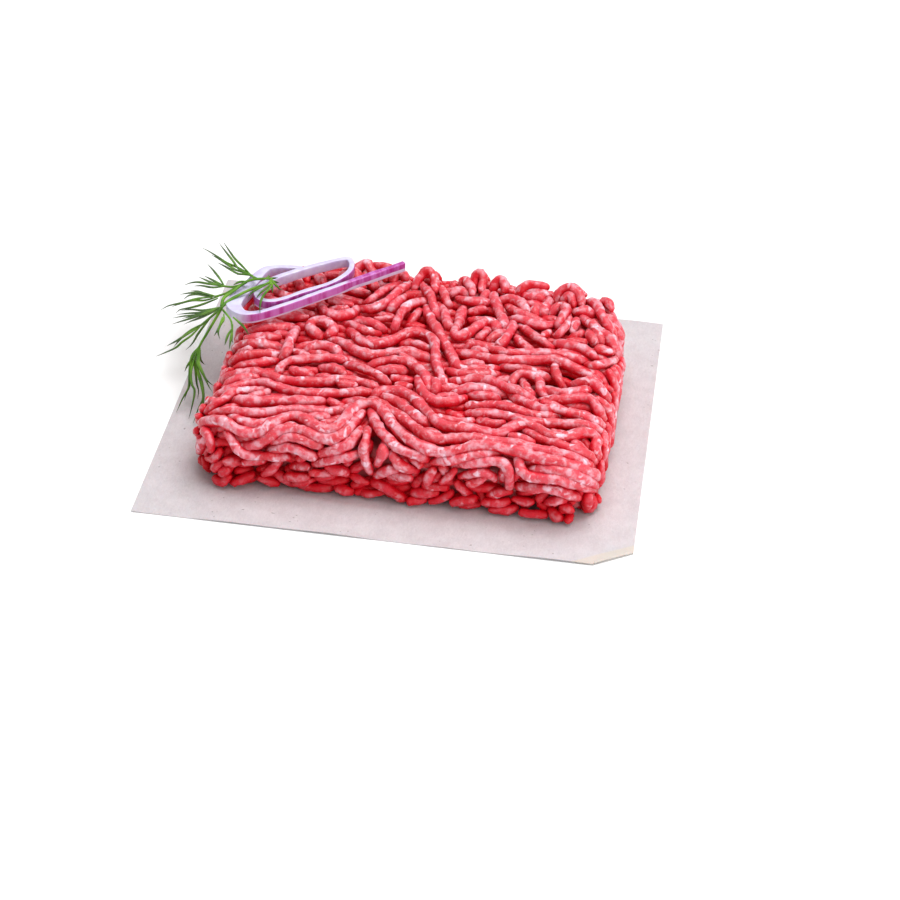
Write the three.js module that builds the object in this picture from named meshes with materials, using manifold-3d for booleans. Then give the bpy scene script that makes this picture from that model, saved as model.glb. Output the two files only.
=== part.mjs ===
// A block of raw minced meat on a sheet of greaseproof paper, with two rings of red onion and a sprig
// of dill on its back left corner. Millimetres, +Z up. The origin is the middle of the paper's
// underside, +X runs along the block's long front side and +Y towards its back.
import * as THREE from "three";
import { mergeVertices } from "three/addons/utils/BufferGeometryUtils.js";
import Module from "manifold-3d";

const wasm = await Module();
wasm.setup();

// The paper
const PAPER_THICKNESS = 0.4;
const PAPER_CORNERS = [
  [-97.4, -87.9],
  [104.5, -88],
  [92.9, 88.3],
  [-100, 87.6],
];
const FOLD_START = [89.5, -88.2];
const FOLD_END = [103.7, -78];
const GAP = 0.3;

// The block: its middle in plan, the size over its strands and the roundings of its edges
const BLOCK_MIDDLE = [5.4, 0.5];
const BLOCK_LENGTH = 166.5;
const BLOCK_DEPTH = 132;
const BLOCK_HEIGHT = 32;
const EDGE_RADIUS = 9;
const EDGE_SEGMENTS = 3;
const CORNER_RADIUS = 8;
const CORNER_SEGMENTS = 4;
// How far the sides lean in for each millimetre down
const BASE_INSET = 0.1;
const CORE_BELOW_STRANDS = 1.3;

// The strands, as a mincer's plate cuts them
const STRAND_DIAMETER = 4.3;
const STRAND_SIDES = 5;
// The longest straight piece of a strand, in a bend and elsewhere
const BEND_STEP = 6;
const ROW_STEP = 10;
// The rows: their pitch, how near strands come to each other and the ranges that rows vary in
const ROW_PITCH = 8;
const CLEARANCE = 3.4;
const SHORTEST_STRAND = 13;
const ROW_POINT_STEP = 4;
const ROW_END_DROP = [0.2, 0.9];
const ROW_WAVE = [0.5, 1.6];
const ROW_WAVELENGTH = [32, 52];
const ROW_LIFT = 0.7;
const ROW_LIFT_PERIOD = 57;
// Short ends that hang over the sides: how many, their lean, start below the edge, points and lift
const HANGING_TRIES = 28;
const HANGING_LEAN = 7;
const HANGING_START = [0, 8];
const HANGING_STEPS = 4;
const HANGING_STEP = [4, 6];
const HANGING_LIFT = 0.8;
// Short strands on the top: how many, half their length, the way they point, their bow and lift
const FILLER_TRIES = 110;
const FILLER_HALF = [8, 13];
const FILLER_TURN = 0.6;
const BACK_TURN = 1.1;
const BACK_STARTS = 20;
const FILLER_BOW = 3;
const FILLER_LIFT = 0.6;
const CROSSING_STEP = 6;
const SEED = 7;

// Folds of the rows, each a ridge (or, below zero, a trough) that the rows climb over:
// x and y of its middle, its height, the width of its left and right flanks, and its reach in depth
const FOLDS = [
  [-5, -58, 21, 8, 15, 15],
  [-37, -63, 11, 7, 7, 9],
  [-52, -63, -6, 8, 8, 9],
  [-21, -63, -5, 7, 8, 9],
  [53, -50, 9, 6, 8, 5],
  [81, -48, 8, 6, 6, 6],
  [46, -66, 5, 12, 12, 8],
  [43, -36, 6, 12, 14, 7],
  [-74, -42, -13, 11, 9, 17],
  [60, 4, 8, 14, 12, 12],
];

// Strands doubled back on themselves: x and y of the bend's outermost point, the way that it points in
// degrees from +X, its width, the length of its first and second leg, and how high the bend stands up
const HAIRPINS = [
  [1, 16, 90, 22, 16, 36, 1.6],
  [1, 7, 90, 12, 5, 5, 0.4],
  [-42, 16, 80, 10, 6, 12, 1.2],
  [-34, 21, 270, 17, 9, 9, 0.8],
  [-4, 38, 95, 16, 24, 26, 1.6],
  [-2, 60, 92, 7, 12, 24, 3.4],
  [19, 61, 94, 6, 16, 20, 4],
  [28, 58, 80, 8, 8, 8, 2],
  [56, 47, 90, 6, 12, 10, 2],
  [61, 58, 85, 10, 12, 8, 3],
  [27, 30, 85, 12, 10, 12, 1.4],
  [41, 28, 92, 11, 14, 14, 1.4],
  [16, -30, 275, 13, 12, 14, 1],
  [-37, 0, 80, 9, 8, 9, 1],
  [-29, -16, 85, 10, 7, 9, 0.8],
  [-3, 0, 88, 26, 10, 24, 0.8],
  [-70, -60, 135, 14, 14, 12, 0.6],
  [83, -41, 60, 12, 10, 16, 1],
];

// Strands that lie across the rows: x and y of both ends, the sideways bow and the rise in the middle
const CROSSING = [
  [-51, 9, -50, -24, 1, 1],
  [-52, -20, -27, -9, 5, 1],
  [-26, -12, -3, -24, 3, 1.2],
  [-24, 31, -17, 50, -1, 1.4],
  [-14, 30, -10, 52, 1, 1.2],
  [12, 41, 27, 44, 1, 1.6],
  [46, 7, 86, 10, 6, 1.4],
  [44, -2, 84, -8, 8, 1],
  [58, 21, 78, 16, 2, 1],
  [72, 45, 86, 12, 2, 0.8],
  [64, 40, 82, 16, -1, 1],
  [30, 46, 42, 34, 3, 1.6],
  [60, 0, 67, -15, -1, 0.8],
  [10, 24, 4, 42, -1, 1],
  [-60, 38, -66, 58, 1, 0],
  [-48, 30, -46, 56, 1, 0],
];

// The onion: the plan of each ring, taken round the outside of its cut, and its wall and slice
const ONION_HEIGHT = 4.6;
const ONION_WALL = 3.1;
const ONION_REST = 34.4;
const ONION_STEPS = 28;
// How much higher a ring rests at its right end than this far to the left of it
const SLOPE_LENGTH = 70;
const FRONT_SLOPE = 1.6;
const BACK_SLOPE = 1.2;
const FRONT_RING = [
  [-13, 55.5],
  [-35, 35.5],
  [-60, 12.5],
  [-71, 5.5],
  [-79.5, 9.5],
  [-82, 19],
  [-80, 32],
  [-75, 44],
  [-66, 50.5],
  [-57, 53],
];
const BACK_RING = [
  [-42, 57],
  [-36.5, 54],
  [-36.5, 46.5],
  [-43.5, 38],
  [-54.5, 28.5],
  [-65.5, 20.5],
  [-71.5, 24],
  [-70, 34.5],
  [-58, 45.5],
];

// The dill: stems as chains of points, each with its diameter, and the tips of the leaves on it
const DILL_LEAF = 1;
const STEM_SIDES = 5;
const LEAF_SIDES = 3;
const DILL_STEP = 9;
// Where the leaves leave the last stretch of their stem, and how far they bend towards its end
const FIRST_LEAF = 0.35;
const LEAF_SPREAD = 0.6;
const LEAF_BEND = 0.25;
const DILL_STEMS = [
  { width: 1.9, chain: [[-62, 30, 43], [-72.6, 19.9, 42.6], [-80.5, 12.2, 41.4], [-84, 8.8, 38]] },
  {
    width: 1.4,
    chain: [[-73, 19.5, 42.6], [-85, 49, 37], [-94, 62, 31]],
    tips: [[-106.4, 71.3, 26], [-100.5, 76.7, 26], [-97.3, 74.9, 28], [-88, 68, 31]],
  },
  {
    width: 1.4,
    chain: [[-80, 12.6, 41.6], [-88, 28, 36], [-98, 47, 26]],
    tips: [[-102.5, 62.7, 24], [-104.4, 53.9, 22], [-109.5, 50.4, 20], [-105, 47.2, 22]],
  },
  {
    width: 1.4,
    chain: [[-84, 8.8, 38], [-93, 23, 28], [-101, 31, 21]],
    tips: [[-107.7, 41.6, 18], [-114, 37, 14], [-109.6, 33.1, 16], [-109.8, 28.1, 14]],
  },
  {
    width: 1.4,
    chain: [[-84, 8.8, 38], [-89, 8, 26], [-94, 9, 18]],
    tips: [[-112, 16, 7], [-101, 12.6, 12], [-103, 10, 8]],
  },
  {
    width: 1.4,
    chain: [[-84, 8.8, 38], [-88.5, 4, 24], [-92, 2, 13]],
    tips: [[-96.4, -15, 3], [-90.8, -19, 3], [-88.2, -21, 3], [-99, 5, 5]],
  },
  {
    width: 1.3,
    chain: [[-84, 8.8, 38], [-83, 3.5, 38], [-82, -2, 37.5]],
    tips: [[-82.5, -9, 36.5], [-79, -12, 37], [-73, -6, 37.6], [-77, -14, 36.6]],
  },
  {
    width: 1.3,
    chain: [[-66, 26.5, 43], [-66.5, 21, 43], [-67, 17, 42.6]],
    tips: [[-68.5, 9, 41.6], [-62, 12, 42], [-59, 20, 42], [-73, 12, 41.8]],
  },
];

// Numbers from 0 to 1 that are the same at every run
let drawn = SEED;
function draw() {
  drawn = (drawn * 16807) % 2147483647;
  return drawn / 2147483647;
}
function between(low, high) {
  return low + (high - low) * draw();
}

// A closed geometry as a solid that can be joined, and a solid as a geometry
function solidOf(geometry) {
  const bare = geometry.clone();
  bare.deleteAttribute("normal");
  bare.deleteAttribute("uv");
  const merged = mergeVertices(bare, 1e-4);
  return new wasm.Manifold(
    new wasm.Mesh({
      numProp: 3,
      vertProperties: merged.attributes.position.array,
      triVerts: new Uint32Array(merged.index.array),
    }),
  );
}
function geometryOf(solid) {
  const mesh = solid.getMesh();
  const geometry = new THREE.BufferGeometry();
  geometry.setAttribute("position", new THREE.BufferAttribute(mesh.vertProperties, 3));
  geometry.setIndex(new THREE.BufferAttribute(mesh.triVerts, 1));
  geometry.computeVertexNormals();
  return geometry;
}

// The largest body of a solid, without the loose scraps and with its sealed hollows filled
function wholeOf(solid) {
  const bodies = solid.decompose().filter((body) => body.volume() > 0);
  return bodies.reduce((best, body) => (body.volume() > best.volume() ? body : best));
}
function joined(solids) {
  let rest = solids;
  while (rest.length > 1) {
    const pairs = [];
    for (let i = 0; i < rest.length; i += 2) {
      pairs.push(i + 1 < rest.length ? rest[i].add(rest[i + 1]) : rest[i]);
    }
    rest = pairs;
  }
  return rest[0];
}

// A round strand or stem along a chain of points
function strandGeometry(points, diameter, sides, step) {
  const path = new THREE.CatmullRomCurve3(points, false, "centripetal");
  const section = [];
  for (let i = 0; i < sides; i++) {
    const angle = (i / sides) * 2 * Math.PI;
    section.push(new THREE.Vector2(Math.cos(angle), Math.sin(angle)).multiplyScalar(diameter / 2));
  }
  return new THREE.ExtrudeGeometry(new THREE.Shape(section), {
    extrudePath: path,
    steps: Math.max(1, Math.round(path.getLength() / step)),
    bevelEnabled: false,
  });
}

// The block's surface laid out flat: a point on the sheet is draped over the top, round the edges and
// down the sides. It gives the middle line of the outermost strands, raised outwards by lift.
const HALF_LENGTH = (BLOCK_LENGTH - STRAND_DIAMETER) / 2 - EDGE_RADIUS;
const HALF_DEPTH = (BLOCK_DEPTH - STRAND_DIAMETER) / 2 - EDGE_RADIUS;
const TOP = BLOCK_HEIGHT - STRAND_DIAMETER / 2;
const LOWEST = PAPER_THICKNESS + GAP + STRAND_DIAMETER / 2;
const ROUNDING = (EDGE_RADIUS * Math.PI) / 2;
const FULL_TURN = 2 * Math.PI;
const SIDE = TOP - EDGE_RADIUS - LOWEST;

function drape(x, y, lift = 0) {
  const [mx, my] = BLOCK_MIDDLE;
  const px = x - mx;
  const py = y - my;
  const coreX = HALF_LENGTH - CORNER_RADIUS;
  const coreY = HALF_DEPTH - CORNER_RADIUS;
  const flatX = THREE.MathUtils.clamp(px, -coreX, coreX);
  const flatY = THREE.MathUtils.clamp(py, -coreY, coreY);
  const out = new THREE.Vector2(px - flatX, py - flatY);
  const reach = out.length() - CORNER_RADIUS;
  if (reach <= 0) return new THREE.Vector3(x, y, TOP + lift);
  out.normalize();
  const turn = Math.min(reach, ROUNDING) / EDGE_RADIUS;
  const drop = Math.min(Math.max(reach - ROUNDING, 0), SIDE);
  const radius = EDGE_RADIUS + lift;
  const sideways = CORNER_RADIUS + radius * Math.sin(turn) - BASE_INSET * drop;
  return new THREE.Vector3(
    mx + flatX + out.x * sideways,
    my + flatY + out.y * sideways,
    Math.max(TOP - EDGE_RADIUS + radius * Math.cos(turn) - drop, LOWEST),
  );
}

// How far the folds shift a row that would run straight along y
function foldShift(x, y) {
  let shift = 0;
  for (const [fx, fy, height, left, right, reach] of FOLDS) {
    const across = (x - fx) / (x < fx ? left : right);
    const along = (y - fy) / reach;
    shift += height * Math.exp(-across * across - along * along);
  }
  return shift;
}

// Each strand is a chain of [x, y, lift] on the sheet. A strand gives way where one laid before it
// runs, so the strands that show whole are laid first.
const laid = [];
function isFree(x, y) {
  return laid.every(([lx, ly]) => (lx - x) ** 2 + (ly - y) ** 2 > CLEARANCE ** 2);
}
function lengthOf(chain) {
  return chain.slice(1).reduce((sum, [x, y], i) => sum + Math.hypot(x - chain[i][0], y - chain[i][1]), 0);
}
function freeStretches(chain) {
  const stretches = [];
  let current = [];
  for (const point of chain) {
    if (isFree(point[0], point[1])) {
      current.push(point);
    } else {
      stretches.push(current);
      current = [];
    }
  }
  stretches.push(current);
  return stretches.filter((stretch) => stretch.length > 2 && lengthOf(stretch) >= SHORTEST_STRAND);
}

function hairpin([x, y, degrees, width, first, second, rise]) {
  const angle = THREE.MathUtils.degToRad(degrees);
  const ahead = new THREE.Vector2(Math.cos(angle), Math.sin(angle));
  const aside = new THREE.Vector2(ahead.y, -ahead.x);
  const radius = width / 2;
  const chain = [];
  const put = (forward, side, lift) =>
    chain.push([
      x + ahead.x * forward + aside.x * side,
      y + ahead.y * forward + aside.y * side,
      lift,
    ]);
  put(-radius - first, -radius, 0);
  put(-radius - first / 2, -radius, rise / 3);
  for (let i = -2; i <= 2; i++) {
    const round = (i / 4) * Math.PI;
    put(radius * (Math.cos(round) - 1), radius * Math.sin(round), rise * Math.cos(round / 2));
  }
  put(-radius - second / 2, radius, rise / 3);
  put(-radius - second, radius, 0);
  return chain;
}

function crossing([x1, y1, x2, y2, bow, rise]) {
  const length = Math.hypot(x2 - x1, y2 - y1);
  const count = Math.max(2, Math.round(length / CROSSING_STEP));
  const chain = [];
  for (let i = 0; i <= count; i++) {
    const t = i / count;
    const hump = Math.sin(Math.PI * t);
    chain.push([
      x1 + (x2 - x1) * t - ((y2 - y1) / length) * bow * hump,
      y1 + (y2 - y1) * t + ((x2 - x1) / length) * bow * hump,
      rise * hump,
    ]);
  }
  return chain;
}

// One row along the block, from low on its left side to low on its right side
function row(y) {
  const [mx] = BLOCK_MIDDLE;
  const start = mx - HALF_LENGTH - ROUNDING - between(...ROW_END_DROP) * SIDE;
  const end = mx + HALF_LENGTH + ROUNDING + between(...ROW_END_DROP) * SIDE;
  const wave = between(...ROW_WAVE);
  const phase = between(0, FULL_TURN);
  const waveLength = between(...ROW_WAVELENGTH);
  const count = Math.round((end - start) / ROW_POINT_STEP);
  const chain = [];
  for (let i = 0; i <= count; i++) {
    const x = start + ((end - start) * i) / count;
    const ripple = wave * Math.sin((x / waveLength) * FULL_TURN + phase);
    const lift = ROW_LIFT * Math.sin((x / ROW_LIFT_PERIOD) * FULL_TURN + phase);
    chain.push([x, y + foldShift(x, y) + ripple, lift]);
  }
  return chain;
}

// Short ends that hang over the sides
function hangingEnd(side) {
  const [mx, my] = BLOCK_MIDDLE;
  const across = side % 2 === 0 ? HALF_LENGTH : HALF_DEPTH;
  const depth = side % 2 === 0 ? HALF_DEPTH : HALF_LENGTH;
  const place = between(-across, across);
  const lean = between(-HANGING_LEAN, HANGING_LEAN);
  const top = depth + between(...HANGING_START);
  const chain = [];
  for (let i = 0; i <= HANGING_STEPS; i++) {
    const out = top + i * between(...HANGING_STEP);
    const along = place + (lean * i) / HANGING_STEPS;
    const [dx, dy] = [[along, -out], [out, along], [along, out], [-out, along]][side];
    chain.push([mx + dx, my + dy, HANGING_LIFT]);
  }
  return chain;
}

// A short strand on the top that fills a bare place, aimed as the strands round it flow
function filler() {
  const [mx, my] = BLOCK_MIDDLE;
  const x = mx + between(-HALF_LENGTH, HALF_LENGTH);
  const y = my + between(-HALF_DEPTH, HALF_DEPTH);
  const angle = between(-FILLER_TURN, FILLER_TURN) + (y > BACK_STARTS ? BACK_TURN : 0);
  const half = between(...FILLER_HALF);
  const [dx, dy] = [Math.cos(angle) * half, Math.sin(angle) * half];
  const bow = between(-FILLER_BOW, FILLER_BOW);
  return crossing([x - dx, y - dy, x + dx, y + dy, bow, between(-FILLER_LIFT, FILLER_LIFT)]);
}

function layStrands() {
  const solids = [];
  const lay = (chain, step) => {
    const points = chain.map(([x, y, lift]) => drape(x, y, lift));
    solids.push(solidOf(strandGeometry(points, STRAND_DIAMETER, STRAND_SIDES, step)));
    for (const [x, y] of chain) laid.push([x, y]);
  };
  const layWhereFree = (chain) => freeStretches(chain).forEach((stretch) => lay(stretch, ROW_STEP));
  CROSSING.forEach((ends) => lay(crossing(ends), ROW_STEP));
  HAIRPINS.forEach((bend) => lay(hairpin(bend), BEND_STEP));
  const reach = HALF_DEPTH + ROUNDING + SIDE - STRAND_DIAMETER / 4;
  const rows = Math.floor((2 * reach) / ROW_PITCH);
  for (let i = 0; i <= rows; i++) layWhereFree(row(BLOCK_MIDDLE[1] - reach + i * ROW_PITCH));
  for (let i = 0; i < HANGING_TRIES; i++) layWhereFree(hangingEnd(i % 4));
  for (let i = 0; i < FILLER_TRIES; i++) layWhereFree(filler());
  return solids;
}

function roundedRectangle(halfLength, halfDepth, radius) {
  const shape = new THREE.Shape();
  shape.absarc(halfLength - radius, halfDepth - radius, radius, 0, Math.PI / 2);
  shape.absarc(radius - halfLength, halfDepth - radius, radius, Math.PI / 2, Math.PI);
  shape.absarc(radius - halfLength, radius - halfDepth, radius, Math.PI, 1.5 * Math.PI);
  shape.absarc(halfLength - radius, radius - halfDepth, radius, 1.5 * Math.PI, 2 * Math.PI);
  return shape;
}

// The pressed meat that the strands lie on
function coreSolid() {
  const bevel = EDGE_RADIUS - 1;
  const top = TOP - CORE_BELOW_STRANDS;
  const foot = PAPER_THICKNESS + GAP;
  const inset = EDGE_RADIUS - bevel - CORE_BELOW_STRANDS;
  const shape = roundedRectangle(HALF_LENGTH + inset, HALF_DEPTH + inset, CORNER_RADIUS);
  const block = new THREE.ExtrudeGeometry(shape, {
    depth: top - foot,
    bevelThickness: bevel,
    bevelSize: bevel,
    bevelSegments: EDGE_SEGMENTS,
    curveSegments: CORNER_SEGMENTS,
  });
  block.translate(BLOCK_MIDDLE[0], BLOCK_MIDDLE[1], foot - bevel);
  const below = new THREE.BoxGeometry(2 * BLOCK_LENGTH, 2 * BLOCK_DEPTH, 2 * bevel);
  below.translate(0, 0, foot - bevel);
  return solidOf(block).subtract(solidOf(below));
}

function minceGeometry() {
  return geometryOf(wholeOf(joined([coreSolid(), ...layStrands()])));
}

// The sheet, with its front right corner folded under
function paperGeometry() {
  const corner = (points) => new THREE.Shape(points.map(([x, y]) => new THREE.Vector2(x, y)));
  const [frontLeft, frontRight, backRight, backLeft] = PAPER_CORNERS;
  const start = new THREE.Vector2(...FOLD_START);
  const along = new THREE.Vector2(...FOLD_END).sub(start).normalize();
  const offset = new THREE.Vector2(...frontRight).sub(start);
  const flap = along
    .clone()
    .multiplyScalar(2 * offset.dot(along))
    .sub(offset)
    .add(start);
  const outline = corner([frontLeft, FOLD_START, FOLD_END, backRight, backLeft]);
  const sheet = new THREE.ExtrudeGeometry(outline, { depth: PAPER_THICKNESS, bevelEnabled: false });
  const doubled = new THREE.ExtrudeGeometry(corner([FOLD_START, FOLD_END, [flap.x, flap.y]]), {
    depth: 2 * PAPER_THICKNESS,
    bevelEnabled: false,
  });
  return geometryOf(solidOf(sheet).add(solidOf(doubled)));
}

// A ring's plan: a smooth line through its points, with the wall on its inner side
function ringShape(points, closed) {
  const line = new THREE.CatmullRomCurve3(
    points.map(([x, y]) => new THREE.Vector3(x, y, 0)),
    closed,
    "centripetal",
  );
  const outer = [];
  const inner = [];
  for (let i = 0; i <= ONION_STEPS; i++) {
    if (closed && i === ONION_STEPS) break;
    const place = line.getPointAt(i / ONION_STEPS);
    const inwards = line.getTangentAt(i / ONION_STEPS).multiplyScalar(ONION_WALL);
    outer.push(new THREE.Vector2(place.x, place.y));
    inner.push(new THREE.Vector2(place.x + inwards.y, place.y - inwards.x));
  }
  if (!closed) return new THREE.Shape([...outer, ...inner.reverse()]);
  const shape = new THREE.Shape(outer);
  shape.holes.push(new THREE.Path(inner.reverse()));
  return shape;
}

function ringGeometry(points, closed, slope) {
  const geometry = new THREE.ExtrudeGeometry(ringShape(points, closed), {
    depth: ONION_HEIGHT,
    bevelEnabled: false,
  });
  const place = geometry.attributes.position;
  for (let i = 0; i < place.count; i++) {
    const along = (place.getX(i) - points[0][0]) / SLOPE_LENGTH;
    place.setZ(i, place.getZ(i) + ONION_REST + slope * (1 + along));
  }
  return geometry;
}

function dillGeometry() {
  const pieces = [];
  for (const { width, chain, tips = [] } of DILL_STEMS) {
    const points = chain.map((point) => new THREE.Vector3(...point));
    pieces.push(solidOf(strandGeometry(points, width, STEM_SIDES, DILL_STEP)));
    const last = points[points.length - 1];
    const before = points[points.length - 2];
    tips.forEach((tip, i) => {
      const root = before.clone().lerp(last, FIRST_LEAF + (LEAF_SPREAD * (i + 1)) / tips.length);
      const end = new THREE.Vector3(...tip);
      const middle = root.clone().lerp(end, 0.5).lerp(last, LEAF_BEND);
      pieces.push(solidOf(strandGeometry([root, middle, end], DILL_LEAF, LEAF_SIDES, DILL_STEP)));
    });
  }
  return geometryOf(wholeOf(joined(pieces)));
}

function piece(name, geometry, color, roughness) {
  const material = new THREE.MeshStandardMaterial({ color, roughness, metalness: 0 });
  const mesh = new THREE.Mesh(geometry, material);
  mesh.name = name;
  return mesh;
}

const block = new THREE.Group();
block.add(piece("paper", paperGeometry(), 0xe9e6e6, 0.7));
block.add(piece("mince", minceGeometry(), 0xd4545c, 0.35));
block.add(piece("onion_ring_front", ringGeometry(FRONT_RING, false, FRONT_SLOPE), 0xb04fa0, 0.35));
block.add(piece("onion_ring_back", ringGeometry(BACK_RING, true, BACK_SLOPE), 0xc9a7d0, 0.35));
block.add(piece("dill_sprig", dillGeometry(), 0x4f8a35, 0.55));

export default block;
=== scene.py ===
"""A block of raw minced meat on greaseproof paper, with two rings of red onion and a sprig of dill.

Lengths in this file are millimetres until a mesh is made, and places are those of the frame: the origin
is the middle of the paper's underside, +X runs along the block's long front side and +Y to its back.
"""

import math

import bpy
import numpy as np
from bpy.props import FloatProperty, FloatVectorProperty, IntProperty, PointerProperty
from mathutils import Matrix, Vector


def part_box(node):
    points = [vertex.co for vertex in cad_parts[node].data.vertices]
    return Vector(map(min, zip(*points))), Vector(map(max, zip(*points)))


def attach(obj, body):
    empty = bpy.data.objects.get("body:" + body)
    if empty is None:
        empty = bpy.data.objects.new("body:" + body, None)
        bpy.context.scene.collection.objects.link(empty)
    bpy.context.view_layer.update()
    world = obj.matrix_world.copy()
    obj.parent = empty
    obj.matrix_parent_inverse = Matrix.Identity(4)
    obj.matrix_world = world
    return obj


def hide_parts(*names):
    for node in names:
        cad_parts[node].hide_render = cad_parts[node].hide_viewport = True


bl_info = {
    "name": "Minced meat on paper",
    "version": (1, 0, 0),
    "blender": (4, 5, 0),
    "location": "3D View > Sidebar > Mince",
    "description": "Builds a block of minced meat on greaseproof paper with red onion and dill",
    "category": "Object",
}

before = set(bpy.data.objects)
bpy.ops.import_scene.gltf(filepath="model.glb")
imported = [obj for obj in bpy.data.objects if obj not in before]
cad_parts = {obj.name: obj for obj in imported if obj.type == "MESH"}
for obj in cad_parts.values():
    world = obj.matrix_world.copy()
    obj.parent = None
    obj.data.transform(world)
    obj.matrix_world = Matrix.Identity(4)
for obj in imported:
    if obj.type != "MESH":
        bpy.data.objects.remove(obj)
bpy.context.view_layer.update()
MM = 0.001

# The camera: the point that it looks at, the way and the distance that it looks from, and its roll
TARGET = np.array([20.8, -21.7, 0.0])
AZIMUTH = math.radians(9.9)
ELEVATION = math.radians(35.574)
ROLL = math.radians(0.564)
DISTANCE = 1250.0
LENS = 120.9
BACKWARDS = np.array(
    [
        math.sin(AZIMUTH) * math.cos(ELEVATION),
        -math.cos(AZIMUTH) * math.cos(ELEVATION),
        math.sin(ELEVATION),
    ]
)
EYE = TARGET + DISTANCE * BACKWARDS

# The block, from the frame's box of it. Its strands are lumpy, so their mean surface stays inside the box
# by LUMPS. EDGE_RADIUS rounds the upper edges and CORNER_RADIUS the upright ones, and BASE_INSET draws the
# sides in. TOP and LOWEST are levels of strands' middle lines, ROUNDING and SIDE lengths on the surface.
LUMPS = 0.4
MINCE_LOW, MINCE_HIGH = (np.array(corner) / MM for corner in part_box("mince"))
BLOCK_MIDDLE = (MINCE_LOW + MINCE_HIGH)[:2] / 2
BLOCK_SIZE = (MINCE_HIGH - MINCE_LOW)[:2] - 2 * LUMPS
BLOCK_HEIGHT = 32
FOOT = MINCE_LOW[2]
STRAND = 4.3
TOP = BLOCK_HEIGHT - STRAND / 2
EDGE_RADIUS = 9.0
CORNER_RADIUS = 8.0
BASE_INSET = 0.06
HALF_SIZE = (BLOCK_SIZE - STRAND) / 2 - EDGE_RADIUS
LOWEST = FOOT + STRAND / 2
ROUNDING = EDGE_RADIUS * math.pi / 2
SIDE = TOP - EDGE_RADIUS - LOWEST

# Routes that were read off the photo are given where the camera's rays meet this level
SEEN_LEVEL = 31.0

# Folds that the rows climb over: x, y, height, width of the left and right flank, reach in depth
FOLDS = [
    (-5, -58, 21, 8, 15, 15),
    (-37, -63, 11, 7, 7, 9),
    (-52, -63, -6, 8, 8, 9),
    (-21, -63, -5, 7, 8, 9),
    (53, -50, 9, 6, 8, 5),
    (81, -48, 8, 6, 6, 6),
    (46, -66, 5, 12, 12, 8),
    (43, -36, 6, 12, 14, 7),
    (-74, -42, -13, 11, 9, 17),
    (60, 4, 8, 14, 12, 12),
]

# Hollows between the strands: x, y, radius and depth
HOLLOWS = [
    (-20, -39, 6, 4),
    (-65, -74, 7, 5),
    (-7, -51, 4, 4),
    (0, -66, 4, 5),
    (26, -39, 7, 4),
    (69, -42, 5, 3),
    (82, -50, 5, 5),
    (60, -67, 4, 4),
    (84, -71, 5, 3),
    (-46, 1, 5, 4),
    (-38, -18, 4, 5),
    (-59, 15, 6, 4),
    (-16, -9, 6, 3),
    (0, -17, 5, 5),
    (20, 7, 4, 4),
    (51, -12, 4, 5),
    (70, -5, 5, 4),
    (75, 11, 4, 4),
    (65, 28, 5, 4),
    (46, 20, 5, 4),
    (-4, 27, 7, 6),
    (18, 33, 6, 6),
    (27, 36, 6, 4),
    (-30, 43, 6, 5),
    (-60, 57, 9, 3),
    (-38, 29, 5, 3),
    (77, -25, 5, 4),
]

# The strands that show whole. Each has its lift at the ends and in the middle, and its route as the camera
# sees it on SEEN_LEVEL.
FRONT_LEFT = [
    (-1, 0.6, [(-74, -38), (-70, -31), (-64, -26.5), (-58, -25.5), (-51, -28.5), (-45, -28.5), (-35, -28.5),
               (-27, -25), (-20, -23), (-13, -25.5), (-8, -29)]),
    (-1, 0.4, [(-73, -48), (-70, -42.5), (-65, -37), (-60, -33), (-53, -34.5), (-46, -35.5), (-40, -37),
               (-33, -35.5), (-25, -34.5), (-18, -32.5), (-13, -30.5), (-9, -33)]),
    (-1, 0.2, [(-73.5, -59), (-71, -51), (-67, -45), (-62, -40), (-56, -37), (-49, -37)]),
    (-1, 0.3, [(-64, -48), (-59, -47.5), (-53, -45.5), (-47, -43.5), (-41, -43.5), (-34, -42), (-28, -42)]),
    (-1, 0.5, [(-69, -57.5), (-62, -55.5), (-56, -55), (-50, -54), (-45, -51), (-39, -48.5), (-32, -48),
               (-25, -48), (-19, -45.5), (-15, -44)]),
    (-1, 0.0, [(-64, -59), (-58, -61), (-52, -63.5), (-47, -61.5), (-43, -57)]),
    (-1, 1.4, [(-71, -84), (-74.5, -76), (-74, -69), (-71, -64), (-67, -62), (-62, -64), (-57, -67.5),
               (-52, -69), (-48, -66.5), (-45, -61), (-42.5, -56), (-39.5, -53), (-36, -52), (-32, -54.5),
               (-28, -58.5), (-24, -61), (-20.5, -60.5), (-18, -56), (-16.5, -50), (-14, -43), (-11.5, -39),
               (-8, -39), (-4, -41.5), (-1, -46), (3, -52), (7, -57.5), (12, -61.5), (18, -65), (24, -67),
               (30, -66), (36, -62.5), (42, -60.5), (50, -60), (57, -61.5), (64, -64), (71, -65),
               (78, -66.5), (85, -69), (90, -73)]),
    (-1, 0.6, [(-54, -77), (-48, -76), (-44.5, -71), (-42, -66), (-39.5, -62), (-36, -61), (-31, -63),
               (-26, -66), (-21, -67.5), (-17, -66), (-15, -61), (-13.5, -56), (-12, -50), (-9.5, -46)]),
    (-1, 0.6, [(-42, -73), (-39, -68), (-35, -66), (-30, -68), (-25, -70.5), (-22, -72)]),
    (-1, 0.2, [(-42, -78), (-37, -73.5), (-32, -74.5), (-27, -77), (-22, -79)]),
    (-1, 0.8, [(-72, -70), (-70, -69), (-68, -72), (-66, -77), (-64, -83)]),
    (-1, 0.4, [(-60, -70), (-57, -76), (-53, -81), (-47, -83), (-41, -81), (-33, -80)]),
]
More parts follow.
